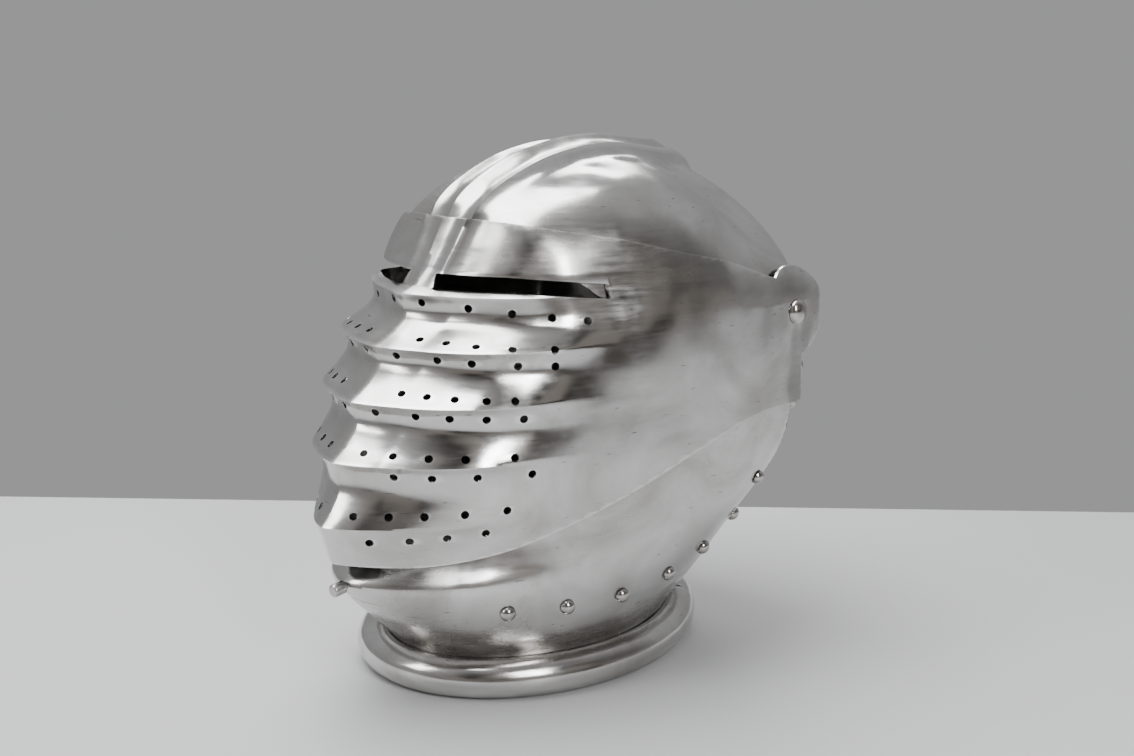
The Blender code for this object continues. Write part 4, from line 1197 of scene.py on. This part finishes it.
def bump(tree, height, strength, distance, below=None):
    """Fine relief from a noise, laid over another one."""
    node = add_node(tree, "ShaderNodeBump", {"Strength": strength, "Distance": distance})
    link(tree, height, 0, node, "Height")
    if below:
        link(tree, below, "Normal", node, "Normal")
    return node


def new_material(name):
    """A material with its tree and its shader."""
    material = bpy.data.materials.new(name)
    material.use_nodes = True
    return material, material.node_tree, material.node_tree.nodes["Principled BSDF"]


def polished_steel(name, bright, dull, smooth, rough, dents, grain_turn=(0.0, 0.0, 0.0)):
    """Hand-polished plate: cloudy gloss, hammer dents, polishing grain, hairlines and bright filed edges."""
    material, tree, shader = new_material(name)
    shader.inputs["Metallic"].default_value = 1.0
    clouds = noise_node(tree, CLOUDS)
    grain = noise_node(tree, GRAIN, grain_turn)
    hairline = spread(tree, noise_node(tree, HAIRS, HAIR_TURN), *HAIR_TINT)
    worn = add_node(tree, "ShaderNodeAttribute")
    worn.attribute_name = "filed_edge"
    cloudy = tint(tree, spread(tree, clouds, *CLOUD_TINT), bright, dull)
    scratched = tint(tree, hairline, cloudy, [value * HAIR_DARK for value in dull])
    filed_colour = [min(BRIGHTEST, value * FILED_BRIGHT) for value in bright]
    filed = tint(tree, worn, scratched, filed_colour, ATTRIBUTE_VALUE)
    link(tree, filed, MIX_COLOUR, shader, "Base Color")
    gloss = spread(tree, clouds, *CLOUD_GLOSS, smooth, rough)
    finger = spread(tree, noise_node(tree, SMUDGES), *SMUDGE_GLOSS)
    streak = spread(tree, grain, *GRAIN_GLOSS)
    scuffed = calculate(tree, "ADD", streak, calculate(tree, "MULTIPLY", hairline, HAIR_GLOSS))
    total = calculate(tree, "ADD", calculate(tree, "ADD", gloss, finger), scuffed)
    link(tree, calculate(tree, "MINIMUM", total, ROUGHEST), 0, shader, "Roughness")
    dented = bump(tree, noise_node(tree, HAMMER), dents, DENT_DEPTH)
    link(tree, bump(tree, grain, GRAIN_STRENGTH, GRAIN_DEPTH, dented), "Normal", shader, "Normal")
    return material


print("steel: clouds", CLOUDS[0], "and dents", HAMMER[0], "to the metre")

# %% [markdown]
# ## A finish for each piece
# Each plate gets its own gloss, dents and direction of grain, as if polished one by one. The visor and the
# collar are the glossiest, and rivets and peg are a little darker.

# %% Steel for each plate
BRIGHT = (0.66, 0.655, 0.645)
DULL = (0.43, 0.415, 0.395)
STEELS = {
    # bright and dull colour, smoothest and roughest gloss, strength of the dents, turn of the grain
    "skull_steel": (BRIGHT, DULL, 0.11, 0.30, 0.80, (0.0, 0.6, 0.0)),
    "visor_steel": (BRIGHT, DULL, 0.10, 0.29, 1.0, (0.0, 1.57, 0.3)),
    "bevor_steel": (BRIGHT, DULL, 0.15, 0.33, 0.80, (0.3, 0.0, 0.0)),
    "collar_steel": (BRIGHT, DULL, 0.09, 0.24, 0.50, (0.0, 0.0, 0.5)),
    "rivet_steel": ((0.56, 0.54, 0.52), (0.36, 0.35, 0.33), 0.12, 0.26, 0.30),
    "peg_steel": ((0.55, 0.54, 0.52), (0.40, 0.39, 0.37), 0.22, 0.36, 0.10),
}
FINISHES = ((skull, "skull_steel"), (visor, "visor_steel"), (bevor, "bevor_steel"),
            (collar_front, "collar_steel"), (collar_rear, "collar_steel"), (chin_peg, "peg_steel"))
steels = {name: polished_steel(name, *look) for name, look in STEELS.items()}
for plate, finish in FINISHES:
    plate.data.materials.clear()
    plate.data.materials.append(steels[finish])
print("finishes:", sorted(steels))

# %% [markdown]
# ## Setting the rivets
# The tree below takes the seats, sets one rivet on each, turns it to face outwards, and hands over real mesh
# with the rivet's steel. Its inputs have names, and the modifier is set through each input's identifier.

# %% Geometry Nodes tree for the rivets
RIVET_SPREAD = 0.04       # the smallest rivet is this much smaller than the largest
# Sockets of the random node when it draws a plain value
DRAW_LOW = 2
DRAW_HIGH = 3
DRAWN = 1
SOCKETS = (
    ("Seats", "NodeSocketGeometry", "INPUT"),
    ("Rivet", "NodeSocketObject", "INPUT"),
    ("Steel", "NodeSocketMaterial", "INPUT"),
    ("Spread", "NodeSocketFloat", "INPUT"),
    ("Seed", "NodeSocketInt", "INPUT"),
    ("Rivets", "NodeSocketGeometry", "OUTPUT"),
)


def rivet_tree():
    """Sets a rivet on each seat point, facing outwards, with a small spread in size and turn."""
    tree = bpy.data.node_groups.new("rivets_on_seats", "GeometryNodeTree")
    for name, kind, direction in SOCKETS:
        tree.interface.new_socket(name, in_out=direction, socket_type=kind)
    given = add_node(tree, "NodeGroupInput")
    result = add_node(tree, "NodeGroupOutput")
    rivet = add_node(tree, "GeometryNodeObjectInfo")
    facing = add_node(tree, "GeometryNodeInputNamedAttribute", {"Name": "facing"})
    facing.data_type = "FLOAT_VECTOR"
    align = add_node(tree, "FunctionNodeAlignRotationToVector")
    align.axis = "Z"
    smallest = add_node(tree, "ShaderNodeMath", {0: 1.0})
    smallest.operation = "SUBTRACT"
    size = add_node(tree, "FunctionNodeRandomValue", {DRAW_HIGH: 1.0})
    angle = add_node(tree, "FunctionNodeRandomValue", {DRAW_HIGH: 2 * math.pi})
    about = add_node(tree, "ShaderNodeCombineXYZ")
    place = add_node(tree, "GeometryNodeInstanceOnPoints")
    turn = add_node(tree, "GeometryNodeRotateInstances")
    real = add_node(tree, "GeometryNodeRealizeInstances")
    steel = add_node(tree, "GeometryNodeSetMaterial")
    links = (
        (given, "Rivet", rivet, "Object"),
        (given, "Spread", smallest, 1),
        (smallest, 0, size, DRAW_LOW),
        (given, "Seed", size, "Seed"),
        (given, "Seed", angle, "Seed"),
        (angle, DRAWN, about, "Z"),
        (facing, "Attribute", align, "Vector"),
        (given, "Seats", place, "Points"),
        (rivet, "Geometry", place, "Instance"),
        (align, "Rotation", place, "Rotation"),
        (size, DRAWN, place, "Scale"),
        (place, "Instances", turn, "Instances"),
        (about, "Vector", turn, "Rotation"),
        (turn, "Instances", real, "Geometry"),
        (real, "Geometry", steel, "Geometry"),
        (given, "Steel", steel, "Material"),
        (steel, "Geometry", result, "Rivets"),
    )
    for source, output, target, field in links:
        link(tree, source, output, target, field)
    return tree


def set_rivets(name, seats, tree, rivet, seed):
    """One piece with a rivet on every seat, as plain mesh."""
    points = seat_points(name + "_seats", seats)
    change = points.modifiers.new("Rivets", "NODES")
    change.node_group = tree
    values = {"Rivet": rivet, "Steel": steels["rivet_steel"], "Spread": RIVET_SPREAD, "Seed": seed}
    for socket in tree.interface.items_tree:
        if socket.in_out == "INPUT" and socket.name in values:
            change[socket.identifier] = values[socket.name]
    points.update_tag()
    mesh = evaluated_mesh(points)
    bpy.data.objects.remove(points, do_unlink=True)
    mesh.transform(Matrix.Translation((0, 0, -STAND_DROP)))
    mesh.name = name
    item = add_object(name, mesh)
    shade(mesh)
    print(name, len(seats), "rivets,", len(mesh.vertices), "points")
    return item


DOME_RINGS = 9


def neck_rivet():
    """A domed head with a soft rim, and its shank, turned round its own axis."""
    through = SHEET + 2 * FIT_GAP
    profile = dome_profile(RIVET_HEAD_RADIUS, RIVET_HEAD_HEIGHT, RIVET_SHANK_RADIUS, through, DOME_RINGS)
    rim = [(RIVET_HEAD_RADIUS, RIVET_HEAD_HEIGHT * 0.10), (RIVET_HEAD_RADIUS * 0.97, 0.0)]
    profile[DOME_RINGS:DOME_RINGS + 1] = rim
    return turned_solid("neck_rivet_pattern", profile, 24, Vector(), Vector((0, 0, 1)))


def ear_rivet():
    """The large domed rivet at the ear, long enough for all three plates, with its flat head inside."""
    through = 3 * SHEET + 2 * PLATE_GAP + 5 * FIT_GAP
    inner_head = PIVOT_HEAD_RADIUS * 0.6
    end = -through - 2 * SHEET
    profile = dome_profile(PIVOT_HEAD_RADIUS, PIVOT_HEAD_HEIGHT, PIVOT_SHANK_RADIUS, through, 10)[:-1]
    profile += [(inner_head, -through), (inner_head, end), (0.0, end)]
    return turned_solid("ear_rivet_pattern", profile, 32, Vector(), Vector((0, 0, 1)))


tree = rivet_tree()
pattern = neck_rivet()
ear_pattern = ear_rivet()
ear_x = visor_point(PIVOT_HEIGHT, math.pi / 2).x
ear_seats = [(pivot_place(side * ear_x), Vector((side, 0, 0))) for side in (1, -1)]
bevor_rivets = set_rivets("bevor_rivets", bevor_seats, tree, pattern, 3)
nape_rivets = set_rivets("nape_rivets", nape_seats, tree, pattern, 8)
ear_rivets = set_rivets("ear_rivets", ear_seats, tree, ear_pattern, 5)
for used in (pattern, ear_pattern):
    bpy.data.objects.remove(used, do_unlink=True)

# %% [markdown]
# ## Riding on the frame
# Each fine piece takes the place of its coarse solid and moves with that solid's body.

# %% Bodies and replaced solids
def rivet_nodes(first, last):
    return ["neck_rivet_%s_%02d" % (side, k) for side in ("left", "right") for k in range(first, last + 1)]


LAST_ON_BEVOR = len(BEVOR_RIVETS)
LAST_ON_NAPE = LAST_ON_BEVOR + len(NAPE_RIVETS)
STANDS_FOR = (
    # piece, body, solids that it replaces
    (skull, "skull_body", ["skull"]),
    (collar_rear, "skull_body", ["collar_rear"]),
    (nape_rivets, "skull_body", rivet_nodes(LAST_ON_BEVOR + 1, LAST_ON_NAPE)),
    (ear_rivets, "skull_body", ["pivot_rivet_left", "pivot_rivet_right"]),
    (bevor, "bevor_body", ["bevor"]),
    (collar_front, "bevor_body", ["collar_front"]),
    (chin_peg, "bevor_body", ["chin_peg"]),
    (bevor_rivets, "bevor_body", rivet_nodes(1, LAST_ON_BEVOR)),
    (visor, "visor_body", ["visor"]),
)
for piece, body, solids in STANDS_FOR:
    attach(piece, body)
    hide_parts(*solids)
    print(piece.name, "rides on", body, "for", len(solids), "solids")

# %% [markdown]
# ## Table, light and camera
# The helmet stands on a pale table in front of a grey wall. Polished steel is mostly what it reflects, so the
# room makes the look: a broad soft ceiling for the bright crown and ridges, smaller panels round it for the
# gleams on the sides, and a dim, cluttered side of the room that gives the hollows their brown grey.

# %% Camera
PHOTO_WIDTH = 1134
PHOTO_HEIGHT = 756
CAMERA_PLACE = Vector((0.5998, -0.6266, 0.3478))
CAMERA_TURN = math.radians(42.5)     # from straight in front towards the wearer's left
CAMERA_DIP = math.radians(12.75)     # looking down
LENS = 50
SENSOR = 36

ahead = Vector((-math.sin(CAMERA_TURN) * math.cos(CAMERA_DIP), math.cos(CAMERA_TURN) * math.cos(CAMERA_DIP),
                -math.sin(CAMERA_DIP)))
across = Vector((math.cos(CAMERA_TURN), math.sin(CAMERA_TURN), 0))
upward = across.cross(ahead)
camera = add_object("camera", bpy.data.cameras.new("camera"))
camera.data.lens = LENS
camera.data.sensor_width = SENSOR
camera.data.clip_start = 0.01
axes = Matrix((across, upward, -ahead)).transposed().to_4x4()
camera.matrix_world = Matrix.Translation(CAMERA_PLACE) @ axes
bpy.context.scene.camera = camera


def on_table(x, y):
    """Where the ray through a pixel of the picture meets the table."""
    scale = SENSOR / LENS / PHOTO_WIDTH
    ray = ahead + across * ((x - PHOTO_WIDTH / 2) * scale) - upward * ((y - PHOTO_HEIGHT / 2) * scale)
    return CAMERA_PLACE + ray * (-CAMERA_PLACE.z / ray.z)


print("camera", tuple(round(v, 4) for v in CAMERA_PLACE))

# %% [markdown]
# ## Table, room and panels
# The table is a plane, and its far edge is worked out from where it crosses the picture. A plain grey room
# would leave polished steel flat, so the world has a lighter ceiling and a dim side broken up by noise.
# Soft panels add the gleams.

# %% Table and light
TABLE_EDGE = ((0, 496), (PHOTO_WIDTH, 512))     # the table's far edge in the picture
TABLE_SIZE = 3            # how far it runs past the picture, and towards the camera
TABLE_GAP = 0.0004        # just under the collar, so that the two surfaces don't share a plane
TABLE_PALE = (0.50, 0.50, 0.505)
TABLE_ROUGHNESS = 0.5
SPECKS = (3.0, 4.0, 0.5, 0.0, (1.0, 1.0, 1.0))
WALL_GREY = (0.335, 0.335, 0.34)
CEILING_GREY = (0.52, 0.52, 0.53)
CLUTTER_DARK = (0.035, 0.030, 0.027)
CLUTTER_LIGHT = (0.26, 0.235, 0.215)
CLUTTER_SCALE = 2.6
CLUTTER_DETAIL = 1.5
DIM_SIDE = (0.93, -0.37, 0.0)     # from the helmet towards the dim side of the room
COOL = (0.97, 0.99, 1.0)
WHITE = (1.0, 1.0, 1.0)
PANELS = (
    # name, place, what it faces, width, height, power in watts, colour
    ("ceiling", (-0.40, -0.15, 1.50), (0.0, 0.0, 0.15), 1.3, 1.1, 40, COOL),
    ("back_panel", (-0.85, 0.95, 1.20), (0.0, 0.0, 0.2), 0.9, 0.4, 9, WHITE),
    ("side_panel", (1.45, -0.55, 1.05), (0.05, 0.0, 0.2), 0.30, 0.9, 18, COOL),
    ("front_panel", (-0.55, -1.25, 0.95), (0.0, 0.0, 0.2), 0.35, 0.7, 7, WHITE),
)


edge_places = [on_table(*pixel) for pixel in TABLE_EDGE]


def table_paint():
    """A matt pale finish with faint unevenness."""
    material, tree, shader = new_material("table_paint")
    shader.inputs["Roughness"].default_value = TABLE_ROUGHNESS
    uneven = spread(tree, noise_node(tree, SPECKS), 0.3, 0.7)
    colour = tint(tree, uneven, TABLE_PALE, [value * 0.96 for value in TABLE_PALE])
    link(tree, colour, MIX_COLOUR, shader, "Base Color")
    return material


def make_table():
    """A pale table whose far edge crosses the picture where the wall begins."""
    left, right = edge_places
    along = (right - left).normalized() * TABLE_SIZE
    near = Vector((along.y, -along.x, 0))
    corners = [left - along, right + along, right + along + near, left - along + near]
    mesh = bpy.data.meshes.new("table")
    mesh.from_pydata([tuple(c) for c in corners], [], [(3, 2, 1, 0)])
    mesh.materials.append(table_paint())
    table = add_object("table", mesh)
    table.location.z = -TABLE_GAP
    return table


def panel(name, place, target, width, height, power, colour):
    """A soft rectangular light that faces a target."""
    light = bpy.data.lights.new(name, "AREA")
    light.shape = "RECTANGLE"
    light.size = width
    light.size_y = height
    light.energy = power
    light.color = colour
    item = add_object(name, light)
    item.location = place
    item.rotation_euler = (Vector(target) - Vector(place)).to_track_quat("-Z", "Y").to_euler()
    return item


def room():
    """A grey room: wall grey at eye level, lighter above, dim and cluttered to the wearer's left."""
    world = bpy.data.worlds.new("room")
    bpy.context.scene.world = world
    world.use_nodes = True
    tree = world.node_tree
    way = add_node(tree, "ShaderNodeTexCoord")
    split = add_node(tree, "ShaderNodeSeparateXYZ")
    towards = add_node(tree, "ShaderNodeVectorMath", {1: DIM_SIDE})
    towards.operation = "DOT_PRODUCT"
    clutter = add_node(tree, "ShaderNodeTexNoise", {"Scale": CLUTTER_SCALE, "Detail": CLUTTER_DETAIL})
    for node in (split, towards, clutter):
        link(tree, way, "Generated", node, 0)
    walls = tint(tree, spread(tree, split, 0.05, 0.9, output=2), WALL_GREY, CEILING_GREY)
    things = tint(tree, spread(tree, clutter, 0.42, 0.60), CLUTTER_DARK, CLUTTER_LIGHT)
    around = tint(tree, spread(tree, towards, 0.05, 0.70, output=1), walls, things)
    link(tree, around, MIX_COLOUR, tree.nodes["Background"], "Color")
    tree.nodes["Background"].inputs["Strength"].default_value = 1.0


make_table()
room()
for values in PANELS:
    panel(*values)
print("table edge", [tuple(place) for place in edge_places], "panels", [values[0] for values in PANELS])
